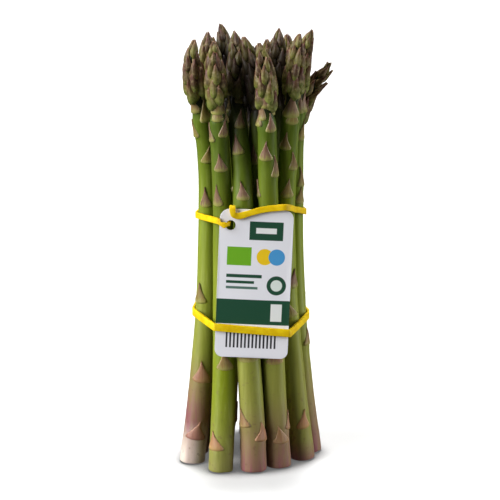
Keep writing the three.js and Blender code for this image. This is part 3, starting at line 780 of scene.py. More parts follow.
by_height = share_of(tree, (height, 0.0, GREENS_END), easing="LINEAR")
ramp = add(tree, "ShaderNodeValToRGB", {"Fac": by_height}).node
stops = ramp.color_ramp.elements
for step, (at, code) in enumerate(GREENS.items()):
    stop = stops[step] if step < 2 else stops.new(at / GREENS_END)
    stop.position, stop.color = at / GREENS_END, colour(code)
print("greens up the stem:", len(stops))

# %% The layers on the stem
def layered(tree, base, layers):
    """Lays colours over a base. Each layer is a colour, as a code or a link, and the parts of its share."""
    for above, *parts in layers:
        below, over = (colour(c) if isinstance(c, str) else c for c in (base, above))
        mixed = {"Factor": share_of(tree, *parts), "A": below, "B": over}
        base = add(tree, "ShaderNodeMix", mixed, data_type="RGBA")
    return base


low_down = (height, 0.09, 0.02)
stem_colour = layered(
    tree,
    ramp.outputs["Color"],
    [
        ("#7d8a18", (height, 0.17, 0.06), (height, 0.0, 0.05), mark["lime"]),  # the yellower spears
        ("#b7bf6a", (streaks, 0.5, 0.75, 0.0, 0.16)),
        ("#3f5a14", (streaks, 0.5, 0.25, 0.0, 0.16)),
        ("#7d8a2c", (clouds, 0.35, 0.75, 0.0, 0.3)),
        ("#2b4010", mark["painted_stem_shade"]),  # painted shade on the green above the tie
        ("#88545a", mark["blush"], (clouds, 0.3, 0.62, 0.72, 1.0), (streaks, 0.3, 0.7, 0.75, 1.1)),
        ("#dccdbf", mark["pale"], (clouds, 0.7, 0.35, 0.6, 1.0)),  # white where it grew under the soil
        ("#6f5140", (noise["flecks"], 0.62, 0.72, 0.0, 0.4), low_down),  # scuffs
        ("#1d2410", (mark["head"], 0.15, 0.85)),  # painted shade: the core is darkened where it shows between the head's scales
    ],
)
print("nodes in the stem's colour:", len(tree.nodes))

# %% The layers on a leaf
VEINS = (5.0, 0.8, 40.0)  # across a leaf, up it, and from one leaf to the next

facts_of_leaf = add(tree, "ShaderNodeCombineXYZ", {"X": mark["across"], "Y": up, "Z": whim})
vein_place = add(tree, "ShaderNodeVectorMath", {0: facts_of_leaf, 1: VEINS}, operation="MULTIPLY")
vein_settings = {"Vector": vein_place, "Scale": 1.0, "Detail": 3.0, "Roughness": 0.65}
veins = add(tree, "ShaderNodeTexNoise", vein_settings)
on_head = share_of(tree, (kind, 1.2, 1.8))
mottled = share_of(tree, (kind, 0.9, 1.8, 0.1, 0.45))
dry = layered(tree, "#84733c", [("#7c5f4c", (whim, 0.2, 0.8))])
fleshy = layered(tree, "#6c6a2c", [("#4f3829", (whim, 0.1, 0.9))])
blade = layered(tree, dry, [(fleshy, on_head), ("#998a66", (veins, 0.45, 0.7, 0.0, 0.5), (up, 0.1, 0.4))])
foot = layered(tree, "#96954f", [("#76803a", on_head)])
rim = layered(tree, "#bcae86", [("#a8966c", on_head)])
foot_ends = {
    "Factor": on_head,
    "A": share_of(tree, (veins, 0.25, 0.75, 0.12, 0.6)),
    "B": share_of(tree, (mark["below_tip"], 0.35, 1.0, 0.16, 0.8)),
}
foot_end = add(tree, "ShaderNodeMix", foot_ends, data_type="FLOAT")
leaf_colour = layered(
    tree,
    foot,
    [
        (blade, (up, 0.04, foot_end)),
        ("#673834", (up, 0.4, 0.95), (kind, 1.0, 2.0, 0.45, 0.85)),  # purple towards the point
        ("#a89a72", (noise["mottle"], 0.5, 0.7), mottled),
        ("#2e2018", (noise["mottle"], 0.5, 0.32), mottled),
        (rim, (mark["edge"], 0.8, 1.0), (up, 0.0, 0.25, 0.4, 1.0), 0.6),
        ("#b4835a", low_down, (whim, 0.2, 0.9, 0.25, 0.8)),  # the dried ones near the cut
        ("#c4aa94", mark["pale"], 0.7),
        ("#935d5c", mark["blush"], (up, 1.0, 0.0, 0.3, 0.75)),
    ],
)
on_leaf = share_of(tree, (kind, 0.4, 0.6))
# The last layer is painted shade, which darkens the top of some spears almost to black.
skin_colour = layered(tree, stem_colour, [(leaf_colour, on_leaf), ("#191010", mark["painted_head_shade"])])
tree.links.new(skin_colour, surface["Base Color"])
print("nodes in the whole colour:", len(tree.nodes))

# %% Gloss and fine relief
RELIEF_DEPTH = 0.0003

tree.links.new(share_of(tree, (streaks, 0.3, 0.7, 0.36, 0.5)), surface["Roughness"])
relief_height = add(tree, "ShaderNodeMix", {"Factor": on_leaf, "A": streaks, "B": veins}, data_type="FLOAT")
relief = add(tree, "ShaderNodeBump", {"Strength": 0.4, "Distance": RELIEF_DEPTH, "Height": relief_height})
tree.links.new(relief, surface["Normal"])
print("nodes in the skin:", len(tree.nodes))

# %% [markdown]
# ## Eighteen spears
#
# Each spear's line and leaf points go through the tree once. Afterwards three things are done to the plain
# mesh that the tree can't know: the stem swells under each leaf, a leaf that would reach into a neighbour
# is pushed back to its own side, and one under a band or the card is pressed flat.

# %% The line and the leaf points that go into the tree
LINE_ENDS = [0.0, 0.06, 0.25, 0.6, 1.1]  # heights near the cut, where the rim is rounded
RIM = [0.82, 0.45, 0.17, 0.04, 0.0]  # how much the radius is less there
LINE_STEP = 1.5
LINE_BEYOND = 9  # past the tip, so that the last leaves still have a line to follow
CORE_SHARE = 0.56  # of the head's radius, which its leaves stand out of
CORE_ENDS = 1.2  # below the tip
NECK = 9  # below the head, where the core narrows from the stem


def core_radius(spear, z):
    """The stem's radius, and the radius of what is under the scales in the head."""
    share = head_share(spear, z)
    stem_top = stem_radius(spear, spear["tip"][2] - HEAD_LENGTH)
    inside = np.minimum(head_fullness(spear, share) * CORE_SHARE, stem_top)
    neck = np.clip((share - 1) * HEAD_LENGTH / NECK, 0, 1)
    neck = neck * neck * (3 - 2 * neck)
    return inside * (1 - neck) + stem_radius(spear, z) * neck


def spear_line(index, draw):
    """An object whose points hold everything the tree needs to grow one spear."""
    spear = SPEARS[index]
    tip = spear["tip"][2]
    heights = np.concatenate([LINE_ENDS, np.arange(LINE_ENDS[-1] + LINE_STEP, tip + LINE_BEYOND, LINE_STEP)])
    x, y = centre(index, heights)
    line = np.stack([x, y, heights], 1)
    along = np.concatenate([[0], np.cumsum(np.linalg.norm(np.diff(line, axis=0), axis=1))])
    core = core_radius(spear, heights)
    sheath = core.copy()
    core[: len(RIM)] -= RIM
    core[heights > tip - CORE_ENDS] = 0
    dome = head_fullness(spear, head_share(spear, heights))
    leaf_rows = leaves_of(index, draw)
    count, loose = len(heights), np.zeros(len(leaf_rows))
    steps = [(i, i + 1) for i in range(count - 1)]
    made = mesh_object("spear_line", np.vstack([line, np.zeros((len(leaf_rows), 3))]), edges=steps)
    facts = {name: np.concatenate([np.zeros(count), leaf_rows[:, i]]) for i, name in enumerate(LEAF_FACTS)}
    facts["rise"][count:] = np.interp(facts["rise"][count:], heights, along)
    facts["bearing"] = np.radians(facts["bearing"])
    for name, values in {"core": core, "sheath": sheath, "dome": dome}.items():
        facts[name] = np.concatenate([values, loose])
    for name, values in facts.items():
        write_attribute(made.data, name, values)
    return made, leaf_rows


print("the first spear's core at 200 mm:", round(float(core_radius(SPEARS[0], 200)), 2))

# %% Running the tree on one spear
STEM_SIDES = 36
UNEVENNESS = 0.7  # mm from the deepest to the highest that the noise can go
SOCKETS = {item.name: item.identifier for item in grow.interface.items_tree if item.in_out == "INPUT"}


def grown(line, seed):
    """The plain mesh that the tree makes from a line object."""
    modifier = line.modifiers.new("grow", "NODES")
    modifier.node_group = grow
    leaf_forms = {"Stem Leaf": stem_leaf, "Head Leaf": head_leaf}
    measures = {"Sides": STEM_SIDES, "Unevenness": UNEVENNESS, "Seed": seed}
    for name, value in {**leaf_forms, **measures, "Skin": skin}.items():
        modifier[SOCKETS[name]] = value
    depsgraph = bpy.context.evaluated_depsgraph_get()
    mesh = bpy.data.meshes.new_from_object(line.evaluated_get(depsgraph), depsgraph=depsgraph)
    bare_line = line.data
    bpy.data.objects.remove(line)
    bpy.data.meshes.remove(bare_line)
    return mesh


print("inputs of the tree:", SOCKETS)

# %% Swelling under leaves
SWELL = 0.45  # at the foot of a leaf, as a share of how far the leaf stands off
SWELL_BELOW, SWELL_ABOVE, SWELL_BESIDE = 2.2, 5, 5  # how far it fades out each way


def move_out(points, x, y, factor):
    """Moves points away from their spear's centreline, or towards it."""
    points[:, 0] = x + (points[:, 0] - x) * factor
    points[:, 1] = y + (points[:, 1] - y) * factor


def swell_under_leaves(index, points, kind_of, leaf_rows):
    """Thickens the stem a little round the foot of each leaf, as a joint does."""
    spear = SPEARS[index]
    x, y = centre(index, points[:, 2])
    bearing = np.arctan2(points[:, 0] - x, y - points[:, 1])
    more = np.zeros(len(points))
    for _, z, turn, _, _, lift, *_ in leaf_rows[leaf_rows[:, 0] == 1]:
        around = (bearing - math.radians(turn) + np.pi) % (2 * np.pi) - np.pi
        beside = np.abs(around) * stem_radius(spear, z) / SWELL_BESIDE
        rise = points[:, 2] - z
        fades = np.where(rise < 0, rise / SWELL_BELOW, rise / SWELL_ABOVE)
        more = np.maximum(more, SWELL * lift * np.exp(-(fades**2) - beside**2))
    on_stem = kind_of < 0.5
    move_out(points, x, y, np.where(on_stem, 1 + more / np.maximum(stem_radius(spear, points[:, 2]), 1), 1))


print("the stem swells by", round(SWELL * SCALE_RISE, 2), "mm under a leaf")

# %% Clearing the neighbours, and pressing flat
CLEAR_ROUNDS = 6
CLEAR_SHARE = 0.55  # of what is over, taken off each round
PRESSED_BEYOND = 1  # leaves are pressed this far outside the card's and the bands' edges too
PRESSED_THICKNESS = 0.1


def keep_clear(index, points):
    """Moves points back towards their own spear where they would reach a neighbour."""
    z = points[:, 2]
    x, y = centre(index, z)
    own = envelope(SPEARS[index], z)
    for other, neighbour in enumerate(SPEARS):
        if other == index:
            continue
        ox, oy = centre(other, z)
        theirs = envelope(neighbour, z)
        for _ in range(CLEAR_ROUNDS):
            mine = np.hypot(points[:, 0] - x, points[:, 1] - y)
            to_other = np.hypot(points[:, 0] - ox, points[:, 1] - oy)
            over = mine - own - (to_other - theirs - CLEARANCE)
            meets = (over > 0) & (neighbour["tip"][2] > z)
            keep = np.where(meets, 1 - CLEAR_SHARE * over / np.maximum(mine, 0.01), 1)
            move_out(points, x, y, np.clip(keep, 0, 1))


def press_flat(index, points):
    """Keeps what lies under a band or the card close to the stem."""
    z = points[:, 2]
    x, y = centre(index, z)
    bearing = np.degrees(np.arctan2(points[:, 0], -points[:, 1]))
    off = points - CARD_ORIGIN
    pressed = np.abs(off @ ACROSS) < CARD["width"] / 2 + PRESSED_BEYOND
    pressed &= np.abs(off @ UP) < CARD["height"] / 2 + PRESSED_BEYOND
    pressed &= off @ FORWARD > -CARD["thickness"] - CLEARANCE - PRESSED_BEYOND
    for band in (LOWER_BAND, UPPER_BAND):
        pressed |= np.abs(z - band_height(band, bearing)) < LOWER_WIDTH / 2 + PRESSED_BEYOND
    radius = np.hypot(points[:, 0] - x, points[:, 1] - y)
    most = stem_radius(SPEARS[index], z) + PRESSED_THICKNESS
    move_out(points, x, y, np.where(pressed & (radius > most), most / np.maximum(radius, 0.01), 1))


print("taken off what is over:", round(1 - (1 - CLEAR_SHARE) ** CLEAR_ROUNDS, 3))

# %% What the skin needs to know at each point
PAINTED_STEM_SHADE_FROM, PAINTED_STEM_SHADE_OVER = 110, 35  # the painted shade on the green starts at this height, and is full this much higher
# the painted shade on the top of a spear starts at this height, and is full this much higher
PAINTED_HEAD_SHADE_FROM, PAINTED_HEAD_SHADE_OVER = 165, 30
LESS_SHADE_AT_TIP = (15, 0.75)  # the painted shade on the top of a spear eases off over this length below the tip, by this share
PALE_BLUSH = 1.8  # a spear that is white at the cut is flushed this much more
WHITE_AT_CUT = 1.3  # more than 1, so that the white is even for a little way up before it fades
CORE_SHADE_ENDS, CORE_SHADE_FADE = 1.3, 0.4  # head lengths below the tip where the painted shade on the core is gone, and over which it fades


def mark_skin(mesh, spear, z):
    """Stores how far each colour of the skin goes, painted shade among them, from the spear's own facts and
    the height.
    """
    blush, pale = spear.get("blush", 0), spear.get("pale", 0)
    below = head_share(spear, z)
    # painted shade: the top of some spears, most in the second row, is darkened almost to black
    painted_head_shade = spear.get("painted_head_shade", 0) * np.clip((z - PAINTED_HEAD_SHADE_FROM) / PAINTED_HEAD_SHADE_OVER, 0, 1)
    near_tip = np.clip(1 - (spear["tip"][2] - z) / LESS_SHADE_AT_TIP[0], 0, 1)
    marks = {
        "blush": np.clip((PALE_BLUSH if pale else 1) * (1 - z / blush), 0, 1) if blush else 0 * z,
        "pale": np.clip(WHITE_AT_CUT * (1 - z / pale), 0, 1) if pale else 0 * z,
        "lime": np.full(len(z), spear.get("lime", 0)),
        # painted shade: the green above the tie is darkened on some stems
        "painted_stem_shade": spear.get("painted_stem_shade", 0) * np.clip((z - PAINTED_STEM_SHADE_FROM) / PAINTED_STEM_SHADE_OVER, 0, 1),
        "painted_head_shade": painted_head_shade * (1 - LESS_SHADE_AT_TIP[1] * near_tip),
        "below_tip": below,
        # painted shade on the core, where it shows between the head's scales
        "head": np.clip(CORE_SHADE_ENDS - below, 0, CORE_SHADE_FADE) / CORE_SHADE_FADE,
    }
    for name, values in marks.items():
        write_attribute(mesh, name, values)


print("the darker green is full at", PAINTED_STEM_SHADE_FROM + PAINTED_STEM_SHADE_OVER, "mm, and the dusk at", PAINTED_HEAD_SHADE_FROM + PAINTED_HEAD_SHADE_OVER)

# %% Growing them all
FIRST_SEED = 100
NOISE_STEP = 7.3  # between the ribs of one spear and the next, in the noise


def finish_spear(index):
    """Grows one spear, fits it among its neighbours and hands it to the frame."""
    name = f"spear_{index + 1:02d}"
    draw = np.random.default_rng(FIRST_SEED + index)
    line, leaf_rows = spear_line(index, draw)
    mesh = grown(line, seed=NOISE_STEP * index)
    mesh.name = f"asparagus_{name}"
    points = np.zeros(len(mesh.vertices) * 3)
    mesh.vertices.foreach_get("co", points)
    points = points.reshape(-1, 3)
    swell_under_leaves(index, points, read_attribute(mesh, "kind"), leaf_rows)
    keep_clear(index, points)
    press_flat(index, points)
    points[:, 2] = np.maximum(points[:, 2], 0)
    mesh.vertices.foreach_set("co", (points * METRES).ravel())
    mark_skin(mesh, SPEARS[index], points[:, 2])
    mesh.update()
    piece = bpy.data.objects.new(f"asparagus_{name}", mesh)
    bpy.context.scene.collection.objects.link(piece)
    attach(piece, "root")
    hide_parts(name)
    return piece


spears = [finish_spear(index) for index in range(len(SPEARS))]
for leaf in (stem_leaf, head_leaf):
    bpy.data.objects.remove(leaf)
print("faces in the spears:", sum(len(spear.data.polygons) for spear in spears))

# %% [markdown]
# ## The rubber bands
#
# Each band is a flat strip of vulcanised rubber, stretched round the outside of the bundle, so it runs
# straight from one stem to the next and bends only where it touches one. In any direction, that is the
# stem or card edge that reaches furthest. The upper band also dives through the card's hole, comes up
# behind, and folds over the card's top edge. A ring would float off the stems, and a curve with a bevel
# turns its flat side as it likes. So the strip is carried from section to section by four corners, which
# say at each place which way it faces, and let it twist.

# %% One section of a band
def section(middle, up, out, width, thickness=BAND_THICKNESS):
    """Four corners round a middle, the width along up and the thickness along out."""
    sides = [(-1, -1), (1, -1), (1, 1), (-1, 1)]
    return np.array([middle + up * rise * width / 2 + out * depth * thickness / 2 for rise, depth in sides])


def stretched(band, bearing, width):
    """The section of a stretched band in one direction. Its height goes by the place where it lies."""
    out = np.array([*from_front(bearing, 1), 0])
    z = float(band_height(band, bearing))
    for _ in range(3):  # the height and the place where it lies depend on each other
        holds = [(*centre(i, z), stem_radius(spear, z) + BAND_INSET) for i, spear in enumerate(SPEARS)]
        height = (z - CARD_ORIGIN[2]) / UP[2]
        for side in (-1, 1) if abs(height) < CARD["height"] / 2 - CARD["corner"] else ():
            edge = on_card(side * CARD["width"] / 2, height, 0)
            holds.append((edge[0], edge[1], CLEARANCE))
        x, y, radius = max(holds, key=lambda hold: hold[0] * out[0] + hold[1] * out[1] + hold[2])
        middle = np.array([x, y, z]) + out * (radius + BAND_THICKNESS / 2)
        z = float(band_height(band, math.degrees(math.atan2(middle[0], -middle[1]))))
    middle[2] = z
    return section(middle, np.array([0, 0, 1.0]), out, width)


def aligned(sections):
    """Renumbers each section's corners to follow the one before with the least twist."""
    made = [sections[0]]
    for corners in sections[1:]:
        turned = [np.roll(corners, -shift, axis=0) for shift in range(4)]
        made.append(min(turned, key=lambda c: ((c - made[-1]) ** 2).sum()))
    return made


print("the bands are", LOWER_WIDTH, "and", UPPER_WIDTH, "mm wide and", BAND_THICKNESS, "thick")

# %% A smooth closed strip through the sections
EDGE_CUT = 0.32  # how far from a corner the strip's edge starts to round
CORNER_IN = 0.18  # how far the rounded corner lies inside the sharp one, as a share of the cuts
STRIP_SIDES = 16
SHORTEST_GAP = 0.05


def strip_object(name, sections, steps):
    """A closed strip whose four corners run on smooth curves between the sections. The curves allow for
    the gaps between sections, so they don't swing out where a long run meets a short bend."""
    corners = aligned(sections)
    count = len(corners)
    shift = min(range(4), key=lambda s: ((np.roll(corners[0], -s, axis=0) - corners[-1]) ** 2).sum())
    at = lambda i: np.roll(corners[i % count], -shift * (i // count), axis=0)
    gap = lambda a, b: max(np.linalg.norm((b - a).mean(axis=0)), SHORTEST_GAP) ** 0.5
    rings = []
    for i in range(count):
        p0, p1, p2, p3 = at(i - 1), at(i), at(i + 1), at(i + 2)
        d01, d12, d23 = gap(p0, p1), gap(p1, p2), gap(p2, p3)
        leaving = d12 * ((p1 - p0) / d01 - (p2 - p0) / (d01 + d12)) + p2 - p1
        arriving = d12 * ((p3 - p2) / d23 - (p3 - p1) / (d12 + d23)) + p2 - p1
        for t in np.arange(steps) / steps:
            rings.append(
                (2 * t**3 - 3 * t**2 + 1) * p1 + (t**3 - 2 * t**2 + t) * leaving
                + (3 * t**2 - 2 * t**3) * p2 + (t**3 - t**2) * arriving
            )
    here = np.array(rings)
    before, after = np.roll(here, 1, axis=1) - here, np.roll(here, -1, axis=1) - here
    to_before = before * EDGE_CUT / np.maximum(np.linalg.norm(before, axis=2, keepdims=True), 0.01)
    to_after = after * EDGE_CUT / np.maximum(np.linalg.norm(after, axis=2, keepdims=True), 0.01)
    rounded = here + CORNER_IN * (to_before + to_after)
    points = np.stack([here + to_before, rounded, here + to_after, here + after / 2], 2).reshape(-1, 3)
    total, sides = len(rings), STRIP_SIDES
    faces = []
    for ring in range(total):
        follower, offset = (ring + 1, 0) if ring + 1 < total else (0, sides // 4 * shift)
        for k in range(sides):
            a, b = ring * sides + k, ring * sides + (k + 1) % sides
            c, d = follower * sides + (k + 1 + offset) % sides, follower * sides + (k + offset) % sides
            faces.append((a, b, c, d))
    made = mesh_object(name, points * METRES, faces)
    made.data.polygons.foreach_set("use_smooth", [True] * len(made.data.polygons))
    return made


print("sides of a strip:", STRIP_SIDES)

# %% The lower band
BAND_STEP = 6
lower_sections = [stretched(LOWER_BAND, bearing, LOWER_WIDTH) for bearing in range(-180, 180, BAND_STEP)]
lower_band = strip_object("band_lower", lower_sections[::-1], steps=3)
print("sections of the lower band:", len(lower_sections))

# %% The upper band and its fold through the card
def unit(vector):
    """The same direction, one long."""
    return vector / np.linalg.norm(vector)


slant, sink, over = unit(ACROSS + FORWARD), -unit(UP + FORWARD), unit(UP + FORWARD)
falling = unit(UP - 0.5 * ACROSS)
KNOT = [  # across, up and out on the card, which way the width and the thickness go, and how much they are
    (-19.6, 33.1, 0.95, UP, FORWARD, 3.4, 1.3),
    (-18.1, 31.6, 1.35, falling, FORWARD, 3.6, 1.5),
    (-16.7, 31.9, 1.6, falling, FORWARD, 2.8, 1.6),
    (-15.2, 32.2, 1.3, falling, slant, 1.8, 1.5),
    (-14.7, 32.1, -0.4, UP, ACROSS, 1.5, 1.5),
    (-14.6, 33.8, -2, ACROSS, sink, 2, 1.4),
    (-14, 36.4, -1.8, ACROSS, -FORWARD, 2.4, 1.3),
    (-13.6, 39.8, -1.8, ACROSS, -FORWARD, 2.8, 1.3),
    (-13.2, 41.6, -0.4, ACROSS, UP, 3, 1.4),
    (-13.1, 41.1, 1, ACROSS, over, 3.2, 1.4),
    (-13, 39.2, 1.4, ACROSS, FORWARD, 3.2, 1.4),
    (-12.4, 37.5, 1.4, unit(ACROSS + UP), FORWARD, 3.2, 1.4),
    (-10, 36.7, 0.95, UP, FORWARD, 3.4, 1.3),
    (-3.1, 38.8, 0.95, UP, FORWARD, 3.4, 1.3),
    (2.7, 40.6, 0.95, UP, FORWARD, 3.4, 1.3),
    (9.3, 41.8, 0.95, UP, FORWARD, 3.4, 1.3),
    (16, 42.5, 1.1, UP, FORWARD, 3.4, 1.3),
]
LEAVES_CARD, JOINS_CARD = 60, 325  # bearings between which the band is stretched round the stems

upper_sections = [section(on_card(*place[:3]), *place[3:]) for place in KNOT]
round_the_back = [(bearing + 180) % 360 - 180 for bearing in range(LEAVES_CARD, JOINS_CARD, BAND_STEP)]
upper_sections += [stretched(UPPER_BAND, bearing, UPPER_WIDTH) for bearing in round_the_back]
upper_band = strip_object("band_upper", upper_sections, steps=4)
print("faces in the bands:", len(lower_band.data.polygons), len(upper_band.data.polygons))

# %% [markdown]
# ## The bands' rubber
#
# Yellow vulcanised rubber, cut from an extruded tube: a matt surface with a dusty bloom, and faint deeper
# streaks along it from the cutting. One even yellow with a gloss would look like plastic. So two close
# yellows are mottled as the bloom is, the gloss follows the same patches, and a little light goes through.

# %% Rubber
rubber, tree, surface = new_material(
    "yellow_vulcanised_rubber",
    {
        "IOR": 1.52,
        "Specular IOR Level": 0.25,
        "Subsurface Weight": 0.1,
        "Subsurface Radius": (1.0, 0.7, 0.1),
        "Subsurface Scale": 0.001,
    },
)
CUTTING_LINES = (60.0, 60.0, 1400.0)  # noise in a metre: lines 0.7 mm apart that run on for 17 mm
BLOOM = 260.0  # dusty patches 4 mm across
GRAIN_DEPTH = 0.0001

rubber_place = add(tree, "ShaderNodeTexCoord").node.outputs["Object"]
line_place = add(tree, "ShaderNodeMapping", {"Vector": rubber_place, "Scale": CUTTING_LINES})
cutting_lines = add(tree, "ShaderNodeTexNoise", {"Vector": line_place, "Scale": 1.0, "Detail": 2.0})
bloom = add(tree, "ShaderNodeTexNoise", {"Vector": rubber_place, "Scale": BLOOM, "Detail": 3.0})
yellow = layered(
    tree,
    "#e0b800",
    [("#efcf06", (bloom, 0.3, 0.7)), ("#d9a800", (cutting_lines, 0.5, 0.75, 0.0, 0.35))],
)
tree.links.new(yellow, surface["Base Color"])
tree.links.new(share_of(tree, (bloom, 0.3, 0.7, 0.42, 0.6)), surface["Roughness"])
grain_settings = {"Strength": 0.3, "Distance": GRAIN_DEPTH, "Height": cutting_lines}
tree.links.new(add(tree, "ShaderNodeBump", grain_settings), surface["Normal"])
for band, node_name in ((lower_band, "rubber_band_lower"), (upper_band, "rubber_band_upper")):
    band.data.materials.append(rubber)
    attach(band, "root")
    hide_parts(node_name)
print("rubber on:", lower_band.name, upper_band.name)

# %% [markdown]
# ## The card tag
#
# The tag is stiff coated board, 0.6 mm thick, die cut with round corners and a punched hole. It is slightly
# bowed, because the bands pull it against round stems. A flat plate would catch one even tone, so the sheet
# is made of small triangles inside the cut outline, bowed in code, and given an edge of its own.

# %% The cut outline
CORNER_RADII = dict(top_right=4.4, top_left=5.6, bottom_left=4.2, bottom_right=4.0)
SHEET_STEP = 2.0
SHEET_MARGIN = 0.8  # from an outline to the nearest point of the grid
CORNER_POINTS, HOLE_POINTS = 9, 24


def arc(centre_at, radius, start, stop, count):
    """Points along part of a circle, angles in degrees."""
    angles = np.radians(np.linspace(start, stop, count))
    return [(centre_at[0] + radius * math.cos(a), centre_at[1] + radius * math.sin(a)) for a in angles]


half_w, half_h = CARD["width"] / 2, CARD["height"] / 2
outer = []
quarters = [(1, 1), (-1, 1), (-1, -1), (1, -1)]  # in the order of the corners
for quarter, ((sx, sy), radius) in enumerate(zip(quarters, CORNER_RADII.values())):
    corner_middle = (sx * (half_w - radius), sy * (half_h - radius))
    outer += arc(corner_middle, radius, quarter * 90, quarter * 90 + 90, CORNER_POINTS)
last_angle = 360 * (HOLE_POINTS - 1) / HOLE_POINTS
punched = arc((HOLE["across"], HOLE["up"]), HOLE["radius"], 0, last_angle, HOLE_POINTS)


def from_hole(x, y):
    """How far a point is from the hole's middle."""
    return math.hypot(x - HOLE["across"], y - HOLE["up"])


def inside_card(x, y, margin):
    """Whether a point is on the card, at least a margin from its edges."""
    if from_hole(x, y) < HOLE["radius"] + margin:
        return False
    if abs(x) > half_w - margin or abs(y) > half_h - margin:
        return False
    corner = ("top" if y > 0 else "bottom") + ("_right" if x > 0 else "_left")
    radius = CORNER_RADII[corner]
    dx, dy = abs(x) - (half_w - radius), abs(y) - (half_h - radius)
    return dx < 0 or dy < 0 or math.hypot(dx, dy) < radius - margin


grid = [
    (x, y)
    for x in np.arange(-half_w + 1, half_w, SHEET_STEP)
    for y in np.arange(-half_h + 1, half_h, SHEET_STEP)
    if inside_card(x, y, SHEET_MARGIN)
]
print("points on the card's outline, its hole and its grid:", len(outer), len(punched), len(grid))

# %% Triangles between the outlines
SAME_POINT = 1e-5


def loop_edges(first, count):
    """The edges of a closed loop of points that follow each other."""
    return [(first + i, first + (i + 1) % count) for i in range(count)]


flat = [Vector(p) for p in outer + punched + grid]
rims = loop_edges(0, len(outer)) + loop_edges(len(outer), len(punched))
flat, _, triangles, *_ = delaunay_2d_cdt(flat, rims, [], 1, SAME_POINT)
flat = np.array([tuple(p) for p in flat])
triangles = [corners for corners in triangles if from_hole(*flat[list(corners)].mean(0)) > HOLE["radius"]]
print("triangles in one face of the card:", len(triangles))

# %% The bowed sheet, its back and its edges
CARD_BOW = 0.35  # how far the side edges lie behind the middle
UNEVEN_BOW = 0.1  # and how much that changes from the card's middle to its ends


def bow(across_at, up_at):
    """How far out the sheet stands from its flat plane. It is less than nothing, because it lies behind."""
    aside = (across_at / half_w) ** 2
    return -CARD_BOW * aside - UNEVEN_BOW * np.cos(np.pi * up_at / half_h) * aside


def card_points(spots, out):
    """Places on the bowed sheet for points of the flat one."""
    return on_card(spots[:, 0], spots[:, 1], bow(spots[:, 0], spots[:, 1]) + out)


count = len(flat)
thick = CARD["thickness"]
rim_loops = [list(range(len(outer))), list(range(len(outer), len(outer) + len(punched)))]
points = [card_points(flat, 0.0), card_points(flat, -thick)]
faces = [tuple(t) for t in triangles] + [tuple(count + i for i in reversed(t)) for t in triangles]
next_point = 2 * count
for loop, closing in zip(rim_loops, (1, -1)):
    ring = flat[loop]
    middle_of_rim = card_points(ring, -thick / 2)
    points.append(middle_of_rim)
    size = len(loop)
    for i in range(size):
        j = (i + 1) % size
        front_quad = (loop[j], loop[i], next_point + i, next_point + j)
        back_quad = (next_point + j, next_point + i, count + loop[i], count + loop[j])
        for quad in (front_quad, back_quad):
            faces.append(quad if closing == 1 else quad[::-1])
    next_point += size
card = mesh_object("card_tag_bowed", np.vstack(points) * METRES, faces)
print("points and faces of the card:", len(card.data.vertices), len(card.data.polygons))

# %% What the print goes by, and the card's edges
EDGE_ROUND = 0.12  # radius pressed into the board's edge by the die
EDGE_ANGLE = 60  # degrees between faces, above which they meet at an edge of the board

card_mesh = card.data
across_mm = np.concatenate([flat[:, 0], flat[:, 0], *[flat[loop][:, 0] for loop in rim_loops]])
up_mm = np.concatenate([flat[:, 1], flat[:, 1], *[flat[loop][:, 1] for loop in rim_loops]])
write_attribute(card_mesh, "card_across", across_mm)
write_attribute(card_mesh, "card_up", up_mm)
write_attribute(card_mesh, "printed", np.concatenate([np.ones(count), np.zeros(len(across_mm) - count)]))
bevel = card.modifiers.new("edge", "BEVEL")
bevel.width = EDGE_ROUND * METRES
bevel.segments = 2
bevel.limit_method = "ANGLE"
bevel.angle_limit = math.radians(EDGE_ANGLE)
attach(card, "root")
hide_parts("card_tag")
print("the card's edge is rounded by", EDGE_ROUND, "mm")

# %% [markdown]
# ## The card's print
#
# The print is a plain layout of blocks, bars, discs and even stripes, mostly in dark and leaf green, with
# no words on it. Each shape is drawn in the card's own millimetres, so the print stays on the card from
# every side. The board has a clay coating under a thin varnish, which gives it a soft gloss. Its back and
# edges are bare grey fibre.

# %% Coated board
board, tree, surface = new_material("coated_white_board", {"IOR": 1.48})
card_x, card_y, printed = (
    add(tree, "ShaderNodeAttribute", attribute_name=name).node.outputs["Fac"]
    for name in ("card_across", "card_up", "printed")
)
print("board:", board.name)

# %% Shapes that are printed
INK_EDGE = 0.06  # half the width of a printed edge


def block(left, right, low, high):
    """The share of a rectangle."""
    sides = ((card_x, left, 1), (card_x, right, -1), (card_y, low, 1), (card_y, high, -1))
    parts = [(at, limit - way * INK_EDGE, limit + way * INK_EDGE) for at, limit, way in sides]
    return share_of(tree, *parts, easing="LINEAR")


def disc(x, y, radius):
    """The share of a disc round a point."""
    here = add(tree, "ShaderNodeCombineXYZ", {"X": card_x, "Y": card_y})
    measured = add(tree, "ShaderNodeVectorMath", {0: here, 1: (x, y, 0.0)}, operation="DISTANCE")
    away = measured.node.outputs["Value"]
    return share_of(tree, (away, radius + INK_EDGE, radius - INK_EDGE), easing="LINEAR")


STRIPE_PITCH = 2.0
STRIPE_EDGE = 0.3  # how far up the wave a stripe's edge is soft


def stripes(left, right, low, high):
    """The share of a row of upright stripes."""
    phase = add(tree, "ShaderNodeMath", {0: card_x, 1: 2 * math.pi / STRIPE_PITCH}, operation="MULTIPLY")
    wave = add(tree, "ShaderNodeMath", {0: phase}, operation="SINE")
    lines = share_of(tree, (wave, -STRIPE_EDGE, STRIPE_EDGE), easing="LINEAR")
    return share_of(tree, lines, block(left, right, low, high))


print("a stripe is", STRIPE_PITCH / 2, "mm wide")

